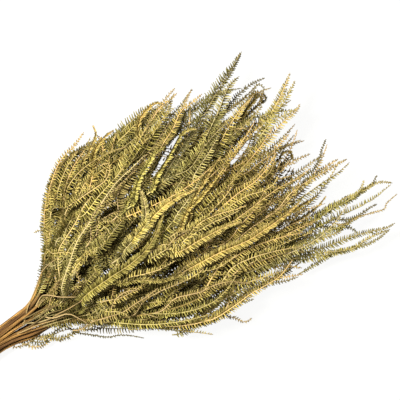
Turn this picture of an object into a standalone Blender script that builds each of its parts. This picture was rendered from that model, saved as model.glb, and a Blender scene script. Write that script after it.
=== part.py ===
"""A bunch of dried grevillea leaf lying on a table: 31 leafy stems held by a twine tie.

Metres, +Z up. The bunch lies along X, cut ends towards -X and leaf tips towards +X, and
+Y is the side whose fronds arch over in a rounded shoulder. All the stems run on one flaring
flow of lines that never cross, so that each leafy stem keeps a space of its own. The lines
are laid out from the middle of the tie, and an empty then brings the middle of the bunch's
underside to the origin.
"""

import math

import bmesh
import bpy
import numpy as np
from mathutils import Vector

SEED = 84

# The tie and the stems inside it
SEAT_PITCH = 0.0045  # from one stem's axis to the next, inside the tie
SEAT_RINGS = 3  # rings of stems round the middle one, without the six corner seats
STEM_RADIUS = 0.0024
TWIG_RADIUS = 0.0010  # where a stem has thinned out to its last frond
TAPER_LENGTH = 0.400
TWINE_DIAMETER = 0.0026
TWINE_TURNS = 3
TWINE_GAP = 0.0004  # between the twine and the stems
TIE_SIDES = 16

# The flow that the stems follow, measured from the middle of the tie
TAIL_LENGTH = 0.108  # from the tie to the cut ends
TAIL_JITTER = 0.010
TAIL_FLARE = 1.22  # how much wider the cut ends stand than the tie
TAIL_RISE = 0.3  # the share of that flare that the cut ends also take upwards
FAN_TWIST = 11.0  # degrees that the bunch turns from the tie to the fan, so that no stems line up
FAN_SQUARE = (0.72, 0.45)  # how far the round bundle is pressed out sideways and upwards
SHOULDER_HALF_WIDTH = 0.108  # on the +Y side, where the fronds arch over
SHOULDER_FROM, SHOULDER_TO = 0.085, 0.245
SHOULDER_CLOSING, SHOULDER_CLOSED_AT = 0.10, 0.420
TRAIL_HALF_WIDTH = 0.136  # on the -Y side, which trails further along the table
TRAIL_FROM, TRAIL_TO = 0.030, 0.285
TRAIL_SPREAD, TRAIL_SPREADS_FROM = 0.18, 0.320
FAN_HEIGHT = 0.096
FAN_FROM, FAN_TO = 0.020, 0.250
FAN_DOME = 0.42  # the sides lie this share lower than the middle
TIP_DROP_FROM, TIP_DROP = 0.300, 0.30
FAN_FLOOR = 0.0026  # height of the lowest stems' axes over the table

# How far the leaf tips reach along X, from the -Y edge (-1) to the +Y edge (+1)
REACH = (
    (-1.00, 0.400),
    (-0.80, 0.500),
    (-0.60, 0.525),
    (-0.35, 0.510),
    (-0.10, 0.495),
    (0.20, 0.505),
    (0.55, 0.495),
    (0.74, 0.480),
    (0.90, 0.385),
    (1.00, 0.310),
)
TOP_LAYER_SHORTER = 0.30  # the upper stems end earlier, so that their tips lie on the bunch

# A frond: a three-sided rib with a row of leaflets down each side
TERMINAL_LENGTH = (0.135, 0.165)
SIDE_LENGTH = (0.100, 0.145)
SHORTEST_SHARE = 0.65  # of its length, where a frond has little room
FIRST_FROND_AT = (0.088, 0.125)
FROND_SPACING = 0.072
SPACING_SPREAD = (0.85, 1.15)
LEAFLET_REACH = (0.0056, 0.0080)
LEAFLET_PITCH = 0.0148
FEWEST_LEAFLETS = 6
LEAFLET_LEAN = 0.55  # how far a leaflet leans forward, as a share of its reach
LEAFLET_RAISE = (-6.0, 22.0)  # degrees, how far the two rows are folded up
FROND_ROLL = 20.0  # degrees either way about its own rib
FLAT_BELOW, ROLLED_ABOVE = 0.004, 0.016  # height over the table where a frond lies flat, or not
FLAT_RAISE = 4.0  # degrees, on a frond that lies on the table
PETIOLE = 0.10  # the bare share of a frond next to its stem
LAST_LEAFLET = 0.985
RIB_HALF_WIDTH = 0.0011
RIB_HEIGHT = 0.0016
RIB_TIP_SHARE = 0.55
BLADE_START, BLADE_SWELL, BLADE_TAPER = 0.35, 2.6, 2.4  # the frond's outline along its length
TIP_HALF_WIDTH = 0.0008

# How a frond leaves its stem
SWING = (0.008, 0.036)  # to one side, at its tip
SWING_OUT_OF_BUNCH = 0.35  # the share of that for the edge stems, away from the bunch
LIFT = 0.020  # up or down, at its tip
HOOK, HOOK_FROM = 0.022, 0.55  # a bend in its last part, to either side
CALMEST = 0.1  # the share of all these bends that is left where a frond has little room

# Clearances between one leafy stem and the next
CLEAR_GAP = 0.0010
FLATNESS = 1.6  # a frond is this much flatter than it is wide
TRIES = 60
SAMPLES = 28
STEM_SAMPLE_STEP = 0.004
SEARCH_REACH = 0.030

# The stem's line and its straight-sided tube
STEP_ALONG = 0.002
PATH_END = 0.640
LOOK_AHEAD = 0.006  # how far along its direction is measured
STEM_STATIONS = (0.070, 0.110, 0.150, 0.195, 0.250, 0.340)
STATION_MARGIN = 0.020
TIE_MARGIN = 0.004
BARE_END = 0.012  # past its last frond's root
LAST_SIDE_FROND = 0.020  # before the terminal frond's root

TIE_HALF_WIDTH = TWINE_DIAMETER * TWINE_TURNS / 2
PACK_RADIUS = SEAT_PITCH * math.sqrt(7)
TIE_INNER = PACK_RADIUS + STEM_RADIUS + TWINE_GAP
TIE_OUTER = TIE_INNER + TWINE_DIAMETER
TIE_HEIGHT = TIE_OUTER * math.cos(math.pi / TIE_SIDES)

# Distances under which two points of a mesh are one
CAP_WELD = 0.00002
TIE_WELD = 0.00005

# Colours of the dried leaf, by how far it has turned
OLIVE = (0.19, 0.20, 0.045)
MOSS = (0.26, 0.27, 0.07)
STRAW = (0.42, 0.34, 0.12)
OCHRE = (0.44, 0.29, 0.08)
TWINE = (0.50, 0.37, 0.20)


def ease(x, start, end):
    """0 before start, 1 after end, and a smooth S between them."""
    t = np.clip((x - start) / (end - start), 0, 1)
    return t * t * (3 - 2 * t)


def stem_seats():
    """Where each stem stands in the tie's section, as (sideways, upwards) from its middle."""
    seats = []
    for i in range(-SEAT_RINGS, SEAT_RINGS + 1):
        for j in range(-SEAT_RINGS, SEAT_RINGS + 1):
            ring = max(abs(i), abs(j), abs(i + j))
            corner = ring == SEAT_RINGS and 0 in (i, j, i + j)
            if ring <= SEAT_RINGS and not corner:
                seats.append((SEAT_PITCH * math.sqrt(0.75) * j, SEAT_PITCH * (i + j / 2)))
    return sorted(seats, key=lambda seat: (round(seat[1], 5), seat[0]))


def place_in_fan(seat):
    """A stem's place in the fan, from -1 to 1 sideways and upwards."""
    twist = math.radians(FAN_TWIST)
    across = (seat[0] * math.cos(twist) - seat[1] * math.sin(twist)) / PACK_RADIUS
    up = (seat[0] * math.sin(twist) + seat[1] * math.cos(twist)) / PACK_RADIUS
    return across / math.sqrt(1 - FAN_SQUARE[0] * up**2), up / math.sqrt(1 - FAN_SQUARE[1] * across**2)


class Stem:
    """One stem's line through the bunch."""

    def __init__(self, number, seat, rng):
        self.number = number
        self.seat = seat
        self.across, self.up = place_in_fan(seat)
        self.tail = TAIL_LENGTH + rng.uniform(-TAIL_JITTER, TAIL_JITTER)
        x = np.arange(-self.tail, PATH_END, STEP_ALONG)
        self.points = self.flow(x)
        steps = np.linalg.norm(np.diff(self.points, axis=0), axis=1)
        self.along = np.concatenate([[0], np.cumsum(steps)])
        self.along -= np.interp(0, x, self.along)
        reach = np.interp(self.across, *zip(*REACH))
        shorter = TOP_LAYER_SHORTER * max(0.0, self.up) * rng.uniform(0.5, 1.0)
        self.tip = np.interp(reach * (1 - shorter), x, self.along)

    def flow(self, x):
        """Points of the line at these distances from the tie."""
        if self.across > 0:
            closing = 1 - SHOULDER_CLOSING * ease(x, SHOULDER_TO, SHOULDER_CLOSED_AT)
            half_width = SHOULDER_HALF_WIDTH * ease(x, SHOULDER_FROM, SHOULDER_TO) * closing
        else:
            spread = TRAIL_SPREAD * np.maximum(0, x - TRAIL_SPREADS_FROM)
            half_width = TRAIL_HALF_WIDTH * ease(x, TRAIL_FROM, TRAIL_TO) + spread
        tail_flare = (TAIL_FLARE - 1) * ease(-x, TIE_HALF_WIDTH, TAIL_LENGTH)
        y = self.seat[0] * (1 + tail_flare) + self.across * half_width
        in_tie = TIE_HEIGHT + self.seat[1] * (1 + tail_flare * TAIL_RISE)
        dome = 1 - FAN_DOME * self.across**2
        drop = 1 - TIP_DROP * ease(x, TIP_DROP_FROM, PATH_END)
        in_fan = FAN_FLOOR + (self.up + 1) / 2 * FAN_HEIGHT * dome * drop
        share = ease(x, FAN_FROM, FAN_TO)
        return np.stack([x, y, in_tie * (1 - share) + in_fan * share], axis=1)

    def at(self, distance):
        """Points at these distances along the line, measured from the tie."""
        return np.stack([np.interp(distance, self.along, self.points[:, k]) for k in range(3)], axis=-1)

    def radius(self, distance):
        share = np.clip(distance / TAPER_LENGTH, 0, 1)
        return STEM_RADIUS + (TWIG_RADIUS - STEM_RADIUS) * share

    def sideways(self, distance):
        """The level direction across the line, to its left."""
        ahead = self.at(distance + LOOK_AHEAD) - self.at(distance - LOOK_AHEAD)
        across = np.stack([-ahead[..., 1], ahead[..., 0], 0 * ahead[..., 0]], axis=-1)
        return across / np.linalg.norm(across, axis=-1, keepdims=True)


class Frond:
    """One comb-like frond: where it leaves its stem, how it bends, and how wide it is."""

    def __init__(self, stem, root, length, rng, calm):
        self.stem, self.root, self.length = stem, root, length
        side = 1 if rng.random() < 0.5 else -1
        outward = max(0.0, side * stem.across)
        held_in = 1 - (1 - SWING_OUT_OF_BUNCH) * min(1.0, outward)
        self.swing = side * rng.uniform(*SWING) * calm * held_in
        self.lift = rng.uniform(-LIFT, LIFT) * calm
        self.hook = rng.uniform(-HOOK, HOOK) * calm
        self.reach = rng.uniform(*LEAFLET_REACH)
        self.raised = math.radians(rng.uniform(*LEAFLET_RAISE))
        self.roll = math.radians(rng.uniform(-FROND_ROLL, FROND_ROLL))

    def centreline(self, t):
        """Points on the underside of the rib, for shares t of the length."""
        distance = self.root + self.length * t
        leaving = 1 - (1 - t) ** 2
        hooking = np.clip((t - HOOK_FROM) / (1 - HOOK_FROM), 0, 1) ** 2
        aside = self.swing * leaving + self.hook * hooking
        line = self.stem.at(distance) + self.stem.sideways(distance) * aside[:, None]
        line[:, 2] = np.maximum(line[:, 2] + self.lift * leaving, 0)
        return line

    def half_width(self, t):
        return self.reach * np.minimum(1, BLADE_START + BLADE_SWELL * t) * (1 - t**BLADE_TAPER) + TIP_HALF_WIDTH

    def turned_frame(self, t):
        """The directions ahead, up and left on the blade, and 1 where it is free of the table."""
        t = np.clip(t, 0.01, 0.99)
        line = self.centreline(t)
        ahead = self.centreline(t + 0.01) - self.centreline(t - 0.01)
        ahead /= np.linalg.norm(ahead, axis=1, keepdims=True)
        up = np.array([0, 0, 1]) - ahead * ahead[:, 2:]
        up /= np.linalg.norm(up, axis=1, keepdims=True)
        left = np.cross(up, ahead)
        free = ease(line[:, 2:], FLAT_BELOW, ROLLED_ABOVE)
        cosine, sine = np.cos(self.roll * free), np.sin(self.roll * free)
        return ahead, up * cosine + left * sine, left * cosine - up * sine, free


def clear_of(line, widths, others):
    """True where the flattened tube round a line stays out of the tubes already placed."""
    placed = np.concatenate([other[0] for other in others])
    placed_widths = np.concatenate([other[1] for other in others])
    squash = np.array([1, 1, FLATNESS])
    low, high = line.min(axis=0) - SEARCH_REACH, line.max(axis=0) + SEARCH_REACH
    near = ((placed > low) & (placed < high)).all(axis=1)
    between = line[:, None] * squash - placed[near][None] * squash
    gaps = np.linalg.norm(between, axis=2) - widths[:, None] - placed_widths[near][None]
    return bool((gaps > CLEAR_GAP).all())


def fronds_wanted(stem, rng):
    """Roots and lengths of a stem's fronds: the terminal one first, then the side ones."""
    last = rng.uniform(*TERMINAL_LENGTH)
    wanted = [(stem.tip - last, last)]
    root = rng.uniform(*FIRST_FROND_AT)
    while root < stem.tip - last - LAST_SIDE_FROND:
        wanted.append((root, rng.uniform(*SIDE_LENGTH)))
        root += FROND_SPACING * rng.uniform(*SPACING_SPREAD)
    return wanted


def place_fronds(stems, rng):
    """Gives every stem its fronds, each one bent until it is clear of all the other stems."""
    t = np.linspace(0, 1, SAMPLES)
    taken = {}
    for stem in stems:
        distance = np.arange(-stem.tail, stem.tip - TERMINAL_LENGTH[1], STEM_SAMPLE_STEP)
        taken[stem.number] = [(stem.at(distance), stem.radius(distance))]
    wanted = {stem.number: fronds_wanted(stem, rng) for stem in stems}
    placed = {stem.number: [] for stem in stems}
    for turn in range(max(len(rows) for rows in wanted.values())):
        for stem in stems:
            if turn >= len(wanted[stem.number]):
                continue
            root, length = wanted[stem.number][turn]
            others = [tube for number, tubes in taken.items() if number != stem.number for tube in tubes]
            for attempt in range(TRIES):
                crowded = attempt / TRIES
                calm = 1 - (1 - CALMEST) * crowded
                frond = Frond(stem, root, length * (1 - (1 - SHORTEST_SHARE) * crowded), rng, calm)
                line, widths = frond.centreline(t), frond.half_width(t)
                if clear_of(line, widths, others):
                    taken[stem.number].append((line, widths))
                    placed[stem.number].append(frond)
                    break
    return placed


def material(name, colour, roughness):
    made = bpy.data.materials.new(name)
    made.use_nodes = True
    shader = made.node_tree.nodes["Principled BSDF"]
    shader.inputs["Base Color"].default_value = (*colour, 1)
    shader.inputs["Roughness"].default_value = roughness
    shader.inputs["Metallic"].default_value = 0
    made.diffuse_color = (*colour, 1)
    return made


def collection(name):
    made = bpy.data.collections.new(name)
    bpy.context.scene.collection.children.link(made)
    return made


def add_object(name, data, home):
    made = bpy.data.objects.new(name, data)
    home.objects.link(made)
    return made


def evaluated_mesh(piece):
    """A new mesh of the object as its curve or modifiers make it."""
    bpy.context.view_layer.update()
    graph = bpy.context.evaluated_depsgraph_get()
    return bpy.data.meshes.new_from_object(piece.evaluated_get(graph))


def tube_stations(stem, bare_end):
    """The distances along a stem where its straight-sided tube has a ring."""
    stations = [-stem.tail, -TIE_HALF_WIDTH - TIE_MARGIN, TIE_HALF_WIDTH + TIE_MARGIN]
    stations += [s for s in STEM_STATIONS if s < bare_end - STATION_MARGIN]
    return np.array(stations + [bare_end])


def stem_tube(stem, bare_end, home):
    """The bare stem as a six-sided tapering tube, made a mesh."""
    distances = tube_stations(stem, bare_end)
    curve = bpy.data.curves.new("stem_line", "CURVE")
    curve.dimensions = "3D"
    curve.twist_mode = "Z_UP"
    curve.bevel_depth = 1.0
    curve.bevel_resolution = 1
    curve.use_fill_caps = True
    spline = curve.splines.new("POLY")
    spline.points.add(len(distances) - 1)
    for point, place, distance in zip(spline.points, stem.at(distances), distances):
        point.co = (*place, 1)
        point.radius = stem.radius(distance)
    drawn = add_object("stem_line", curve, home)
    mesh = evaluated_mesh(drawn)
    bpy.data.objects.remove(drawn)
    work = bmesh.new()
    work.from_mesh(mesh)
    bmesh.ops.remove_doubles(work, verts=work.verts, dist=CAP_WELD)
    bmesh.ops.recalc_face_normals(work, faces=work.faces)
    work.to_mesh(mesh)
    work.free()
    return mesh


def draw_to_point(work, loop, point):
    """Closes a loop of corners to one point with triangles."""
    for a, b in zip(loop, loop[1:] + loop[:1]):
        work.faces.new((a, b, point))


def frond_mesh(frond, bare_end):
    """The frond's rib, with a pointed leaflet drawn out of each of its side faces."""
    count = max(FEWEST_LEAFLETS, round(frond.length * (1 - PETIOLE) / LEAFLET_PITCH))
    t = np.concatenate([[0], np.linspace(PETIOLE, LAST_LEAFLET, count + 1), [1]])
    line = frond.centreline(t)
    stations = tube_stations(frond.stem, bare_end)
    ring_middles = frond.stem.at(stations)
    line[0] = [np.interp(frond.root, stations, ring_middles[:, k]) for k in range(3)]
    line[0, 2] -= RIB_HEIGHT / 2
    ahead, up, left, free = frond.turned_frame(t)
    thin = (1 - (1 - RIB_TIP_SHARE) * t)[:, None]
    ridge = line + up * RIB_HEIGHT * thin
    edges = {side: line + side * left * RIB_HALF_WIDTH * thin for side in (1, -1)}

    middles = (t[1:] + t[:-1]) / 2
    base = frond.centreline(middles)
    ahead, up, left, free = frond.turned_frame(middles)
    reach = frond.half_width(middles)[:, None]
    raised = frond.raised * free + math.radians(FLAT_RAISE) * (1 - free)
    rise = up * (np.sin(raised) * reach + RIB_HEIGHT / 3) + ahead * LEAFLET_LEAN * reach
    tips = {side: base + side * left * np.cos(raised) * reach + rise for side in (1, -1)}

    work = bmesh.new()
    ridge_verts = [work.verts.new(p) for p in ridge[:-1]]
    edge_verts = {side: [work.verts.new(p) for p in edges[side][:-1]] for side in (1, -1)}
    work.faces.new((ridge_verts[0], edge_verts[1][0], edge_verts[-1][0]))
    for i in range(len(ridge_verts) - 1):
        right_edge, left_edge = edge_verts[-1][i : i + 2], edge_verts[1][i : i + 2]
        work.faces.new([*left_edge, *reversed(right_edge)])
        for side, edge in ((1, left_edge), (-1, right_edge)):
            loop = [*ridge_verts[i : i + 2], *reversed(edge)]
            if i == 0:
                work.faces.new(loop)
                continue
            x, y, z = tips[side][i]
            draw_to_point(work, loop, work.verts.new((x, y, max(z, 0))))
    point = work.verts.new(line[-1] + up[-1] * RIB_HEIGHT / 4)
    draw_to_point(work, [ridge_verts[-1], edge_verts[-1][-1], edge_verts[1][-1]], point)
    bmesh.ops.recalc_face_normals(work, faces=work.faces)
    mesh = bpy.data.meshes.new("frond")
    work.to_mesh(mesh)
    work.free()
    return mesh


def join_by_union(base, others):
    """Joins a collection's closed solids to the base object, and removes the collection."""
    union = base.modifiers.new("union", "BOOLEAN")
    union.operation = "UNION"
    union.operand_type = "COLLECTION"
    union.solver = "MANIFOLD"
    union.collection = others
    joined = evaluated_mesh(base)
    base.modifiers.clear()
    base.data = joined
    for piece in list(others.objects):
        bpy.data.objects.remove(piece)
    bpy.data.collections.remove(others)


def leafy_stem(stem, fronds, bunch, finish):
    """One stem with its fronds, fused into one solid."""
    bare_end = max(frond.root for frond in fronds) + BARE_END
    body = add_object(f"leafy_stem_{stem.number:02d}", stem_tube(stem, bare_end, bunch), bunch)
    pieces = collection(f"fronds_{stem.number:02d}")
    for frond in fronds:
        add_object("frond", frond_mesh(frond, bare_end), pieces)
    join_by_union(body, pieces)
    body.data.materials.clear()
    body.data.materials.append(finish)


def twine_tie(bunch, finish):
    """The turns of twine side by side, as one turned ring round the stems."""
    inner = (TIE_INNER + TIE_WELD) / math.cos(math.pi / TIE_SIDES)
    rim = []
    for turn in range(TWINE_TURNS):
        middle = TIE_HALF_WIDTH - (turn + 0.5) * TWINE_DIAMETER
        rim.append((middle + 0.40 * TWINE_DIAMETER, TIE_OUTER - 0.25 * TWINE_DIAMETER))
        rim.append((middle + 0.15 * TWINE_DIAMETER, TIE_OUTER))
        rim.append((middle - 0.15 * TWINE_DIAMETER, TIE_OUTER))
        rim.append((middle - 0.40 * TWINE_DIAMETER, TIE_OUTER - 0.25 * TWINE_DIAMETER))
    rim.append((-TIE_HALF_WIDTH + 0.2 * TWINE_DIAMETER, inner))
    rim.append((TIE_HALF_WIDTH - 0.2 * TWINE_DIAMETER, inner))
    work = bmesh.new()
    verts = [work.verts.new((x, 0, -radius)) for x, radius in rim]
    for a, b in zip(verts, verts[1:] + verts[:1]):
        work.edges.new((a, b))
    mesh = bpy.data.meshes.new("twine_tie")
    work.to_mesh(mesh)
    work.free()
    ring = add_object("twine_tie", mesh, bunch)
    ring.rotation_euler = (math.pi / TIE_SIDES, 0, 0)
    ring.location = (0, 0, TIE_HEIGHT)
    turned = ring.modifiers.new("turned", "SCREW")
    turned.axis = "X"
    turned.steps = turned.render_steps = TIE_SIDES
    turned.use_merge_vertices = True
    turned.merge_threshold = TIE_WELD
    mesh.materials.append(finish)


def set_on_origin(bunch):
    """Hangs the bunch on an empty that brings the middle of its underside to the origin."""
    corners = []
    for piece in list(bunch.objects):
        mesh = evaluated_mesh(piece)
        corners += [piece.matrix_world @ vertex.co for vertex in mesh.vertices]
        bpy.data.meshes.remove(mesh)
    low, high = np.min(corners, axis=0), np.max(corners, axis=0)
    middle = add_object("middle_of_underside", None, bunch)
    middle.location = Vector((-(low[0] + high[0]) / 2, -(low[1] + high[1]) / 2, -low[2]))
    for piece in bunch.objects:
        if piece is not middle:
            piece.parent = middle


def main():
    for old in list(bpy.data.objects):
        bpy.data.objects.remove(old)
    bunch = collection("dried_grevillea_bunch")
    rng = np.random.default_rng(SEED)
    stems = [Stem(number, seat, rng) for number, seat in enumerate(stem_seats(), 1)]
    placed = place_fronds(stems, rng)
    finishes = [
        material("olive_leaf", OLIVE, 0.75),
        material("moss_leaf", MOSS, 0.75),
        material("straw_leaf", STRAW, 0.7),
        material("ochre_leaf", OCHRE, 0.7),
    ]
    for stem in stems:
        leafy_stem(stem, placed[stem.number], bunch, finishes[stem.number % len(finishes)])
    twine_tie(bunch, material("twine", TWINE, 0.9))
    set_on_origin(bunch)
    print("stems", len(stems), "fronds", sum(len(fronds) for fronds in placed.values()))


main()
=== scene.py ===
# %% [markdown]
# # A bunch of dried grevillea leaf
#
# A florist's bunch of dried grevillea is a sheaf of woody stems held by a turn of twine. Each stem
# carries long, narrow leaves that are cut to the rib into a comb of thin leaflets. Drying has turned
# them from olive green to straw and ochre, most of all at the tips.
#
# This file dresses a plain model of that bunch. It first loads the plain model and notes its size,
# so that nothing built later can drift away from it.

# %% Load the plain model
import math

import bpy
import numpy as np
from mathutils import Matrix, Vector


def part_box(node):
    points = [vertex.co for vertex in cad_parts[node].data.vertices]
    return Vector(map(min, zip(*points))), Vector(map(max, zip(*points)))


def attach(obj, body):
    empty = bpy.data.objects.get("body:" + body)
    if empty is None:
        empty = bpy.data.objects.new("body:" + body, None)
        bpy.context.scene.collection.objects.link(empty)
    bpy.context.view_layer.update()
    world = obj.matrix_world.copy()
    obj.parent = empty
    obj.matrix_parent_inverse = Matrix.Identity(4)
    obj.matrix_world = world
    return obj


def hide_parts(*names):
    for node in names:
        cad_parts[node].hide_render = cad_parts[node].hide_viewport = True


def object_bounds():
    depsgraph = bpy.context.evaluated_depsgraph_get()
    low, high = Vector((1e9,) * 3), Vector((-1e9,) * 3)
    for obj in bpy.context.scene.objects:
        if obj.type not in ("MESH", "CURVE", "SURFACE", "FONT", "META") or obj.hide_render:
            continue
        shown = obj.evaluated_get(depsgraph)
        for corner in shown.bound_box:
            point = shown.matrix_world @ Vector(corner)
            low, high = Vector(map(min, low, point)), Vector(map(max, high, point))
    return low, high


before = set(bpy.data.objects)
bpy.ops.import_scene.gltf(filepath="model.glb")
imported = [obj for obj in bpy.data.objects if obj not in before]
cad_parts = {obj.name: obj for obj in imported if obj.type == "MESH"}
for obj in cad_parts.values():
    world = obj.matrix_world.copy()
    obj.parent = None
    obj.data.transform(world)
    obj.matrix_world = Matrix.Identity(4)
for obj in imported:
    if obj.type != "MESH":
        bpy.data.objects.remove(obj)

cad_box = [list(corner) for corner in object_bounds()]
tie_low, tie_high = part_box("twine_tie")
print("plain model", [round(high - low, 3) for low, high in zip(*cad_box)])

# %% [markdown]
# ## Finding the middle of the tie
#
# All the stems pass through the twine tie, so it is the natural place to measure from. In the plain
# model the origin is under the middle of the whole bunch, and the tie lies off to one side. One
# vector, from the origin to the point on the table below the tie, carries every point across.

# %% Measure from the tie
UNDER_TIE = np.array([(tie_low[0] + tie_high[0]) / 2, (tie_low[1] + tie_high[1]) / 2, 0.0])
print("point under the tie", UNDER_TIE.round(4))

# %% [markdown]
# ## The camera
#
# The photograph looks straight down on the bunch, and the stems enter at the lower left corner. So
# the camera hangs over the leaves and is rolled until the stems run up to the right. A long lens
# from well above keeps the fronds on top from looking larger than those on the table.

# %% Hang the camera
ROLL = math.radians(37.0)  # how far the stems' direction is turned up from the picture's lower edge
LOOK_AT = (0.3374, -0.0109)  # along and across the bunch, from the tie
SEEN_WIDTH = 0.480
MIDDLE_HEIGHT = 0.045  # the height at which the picture is that wide
CAMERA_HEIGHT = 1.9

camera_data = bpy.data.cameras.new("from_above")
camera_data.sensor_width = 36.0
camera_data.lens = camera_data.sensor_width * (CAMERA_HEIGHT - MIDDLE_HEIGHT) / SEEN_WIDTH
camera = bpy.data.objects.new("from_above", camera_data)
bpy.context.scene.collection.objects.link(camera)
camera.location = (UNDER_TIE[0] + LOOK_AT[0], UNDER_TIE[1] + LOOK_AT[1], CAMERA_HEIGHT)
camera.rotation_euler = (0, 0, -ROLL)
bpy.context.scene.camera = camera
print("lens", round(camera_data.lens), "mm")

# %% [markdown]
# ## Light and floor
#
# The photograph is a studio picture on white. Even light from all round fills the shadows, and one
# soft lamp from the upper left gives the combs their bright and dark sides. A sun lamp would be
# simpler, but its shadows are too sharp for a studio picture.

# %% Light the studio
SKY_STRENGTH, SKY_COLOUR = 0.35, (1.0, 0.99, 0.97, 1)
LAMP_STRENGTH, LAMP_COLOUR = 88.0, (1.0, 0.97, 0.92)
LAMP_SIZE = 0.45
LAMP_OFFSET = (-0.36, 0.60, 1.50)  # towards the upper left of the picture

world = bpy.data.worlds.new("studio")
world.use_nodes = True
sky = world.node_tree.nodes["Background"]
sky.inputs["Color"].default_value = SKY_COLOUR
sky.inputs["Strength"].default_value = SKY_STRENGTH
bpy.context.scene.world = world
bpy.context.scene.view_settings.view_transform = "Standard"

lamp_data = bpy.data.lights.new("soft_lamp", "AREA")
lamp_data.shape = "DISK"
lamp_data.size = LAMP_SIZE
lamp_data.energy = LAMP_STRENGTH
lamp_data.color = LAMP_COLOUR
lamp = bpy.data.objects.new("soft_lamp", lamp_data)
bpy.context.scene.collection.objects.link(lamp)
lamp.location = LAMP_OFFSET
lamp.rotation_euler = lamp.location.to_track_quat("Z", "Y").to_euler()
print("lamp at", [round(v, 2) for v in lamp.location])

# %% [markdown]
# ## Shader sums in plain Python
#
# A procedural material is mostly arithmetic on masks. Written out node by node it is hard to read,
# so one small class stands for the output of a node and lends it Python's own operators: the sum
# `1 - mask` then adds a Math node. A second class holds a material and has one method that adds any
# other node.

# %% Wrap a socket
class Value:
    """The output of a node, with arithmetic on it."""

    def __init__(self, finish, socket):
        self.finish, self.socket = finish, socket

    def sum_of(self, operation, first, second):
        return self.finish.node("Math", {"operation": operation}, {0: first, 1: second})

    def __add__(self, other):
        return self.sum_of("ADD", self, other)

    def __radd__(self, other):
        return self.sum_of("ADD", other, self)

    def __sub__(self, other):
        return self.sum_of("SUBTRACT", self, other)

    def __rsub__(self, other):
        return self.sum_of("SUBTRACT", other, self)

    def __mul__(self, other):
        return self.sum_of("MULTIPLY", self, other)

    def __rmul__(self, other):
        return self.sum_of("MULTIPLY", other, self)

    def __pow__(self, other):
        return self.sum_of("POWER", self, other)

    def held(self):
        """The value kept between 0 and 1."""
        return self.finish.node("Clamp", {}, {"Value": self})


print("sockets can be added, subtracted, multiplied and raised")

# %% Wrap a material
DRY_SPECULAR = 0.06  # dry plant fibre hardly shines


class Finish:
    """A material, and the one method that adds nodes to it."""

    def __init__(self, name):
        self.material = bpy.data.materials.new(name)
        self.material.use_nodes = True
        self.tree = self.material.node_tree
        self.surface = self.tree.nodes["Principled BSDF"]
        self.surface.inputs["Specular IOR Level"].default_value = DRY_SPECULAR

    def node(self, kind, settings, sockets, output=0):
        """Adds a node: its settings first, then the values or links of its sockets."""
        made = self.tree.nodes.new("ShaderNode" + kind)
        for name, value in settings.items():
            if name == "stops":
                for spot, (position, colour) in zip(made.color_ramp.elements, value):
                    spot.position, spot.color = position, (*colour, 1)
            else:
                setattr(made, name, value)
        for name, value in sockets.items():
            self.feed(made.inputs[name], value)
        return Value(self, made.outputs[output])

    def feed(self, socket, value):
        """Links a value to a socket, or sets the socket to a plain number or colour."""
        if isinstance(value, Value):
            self.tree.links.new(value.socket, socket)
        else:
            socket.default_value = value

    def mixed(self, share, first, second):
        """A colour between two others."""
        first, second = ((*c, 1) if isinstance(c, tuple) else c for c in (first, second))
        sockets = {"Factor": share, 6: first, 7: second}
        return self.node("Mix", {"data_type": "RGBA"}, sockets, 2)

    def stored(self, name, output="Fac"):
        """A number or vector that each point of the mesh carries."""
        return self.node("Attribute", {"attribute_name": name}, {}, output)

    def noise(self, scale, detail=3.0, roughness=0.5, place=None):
        """Soft patches, in the object's own space or at a given place."""
        if place is None:
            place = self.node("TexCoord", {}, {}, "Object")
        sockets = {"Vector": place, "Scale": scale, "Detail": detail, "Roughness": roughness}
        return self.node("TexNoise", {}, sockets)

    def along_grain(self, stretch):
        """The stored place along and round a tube, stretched for fibres that run along it."""
        sockets = {0: self.stored("grain", "Vector"), 1: stretch}
        return self.node("VectorMath", {"operation": "MULTIPLY"}, sockets, "Vector")

    def ends(self, colour, roughness, height=None, depth=0.001, strength=0.5):
        """Links the finished colour, roughness and relief to the surface."""
        self.feed(self.surface.inputs["Base Color"], colour)
        self.feed(self.surface.inputs["Roughness"], roughness)
        if height is not None:
            sockets = {"Height": height, "Distance": depth, "Strength": strength}
            self.feed(self.surface.inputs["Normal"], self.node("Bump", {}, sockets))
        return self.material


print("shader helpers ready")

# %% [markdown]
# ## White paper for the floor
#
# The photograph's background is an even white, like a light table. White paper under a lamp turns
# grey wherever the bunch shades it, so this paper is dark in itself and glows instead. It sends
# some light up between the leaves, as the real background does. A faint grain keeps it from looking
# empty. It isn't part of the bunch.

# %% Lay the floor
FLOOR_SIZE, FLOOR_BELOW = 14.0, 0.0002  # just below the lowest leaves
PAPER_GLOW, PAPER_WHITE = 0.93, (1.0, 1.0, 0.99, 1)
PAPER_SHADES = (0.040, 0.040, 0.040), (0.050, 0.050, 0.049)

paper = Finish("white_paper")
grain = paper.noise(220.0)
paper_colour = paper.mixed(grain, *PAPER_SHADES)
paper.surface.inputs["Emission Color"].default_value = PAPER_WHITE
paper.surface.inputs["Emission Strength"].default_value = PAPER_GLOW
paper.ends(paper_colour, 0.9, grain, 0.0002, 0.1)
floor_mesh = bpy.data.meshes.new("paper_floor")
half = FLOOR_SIZE / 2
floor_corners = [(-half, -half, 0), (half, -half, 0), (half, half, 0), (-half, half, 0)]
floor_mesh.from_pydata(floor_corners, [], [(0, 1, 2, 3)])
floor_mesh.materials.append(paper.material)
floor = bpy.data.objects.new("paper_floor", floor_mesh)
bpy.context.scene.collection.objects.link(floor)
floor.location.z = -FLOOR_BELOW
print("floor laid")

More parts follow.
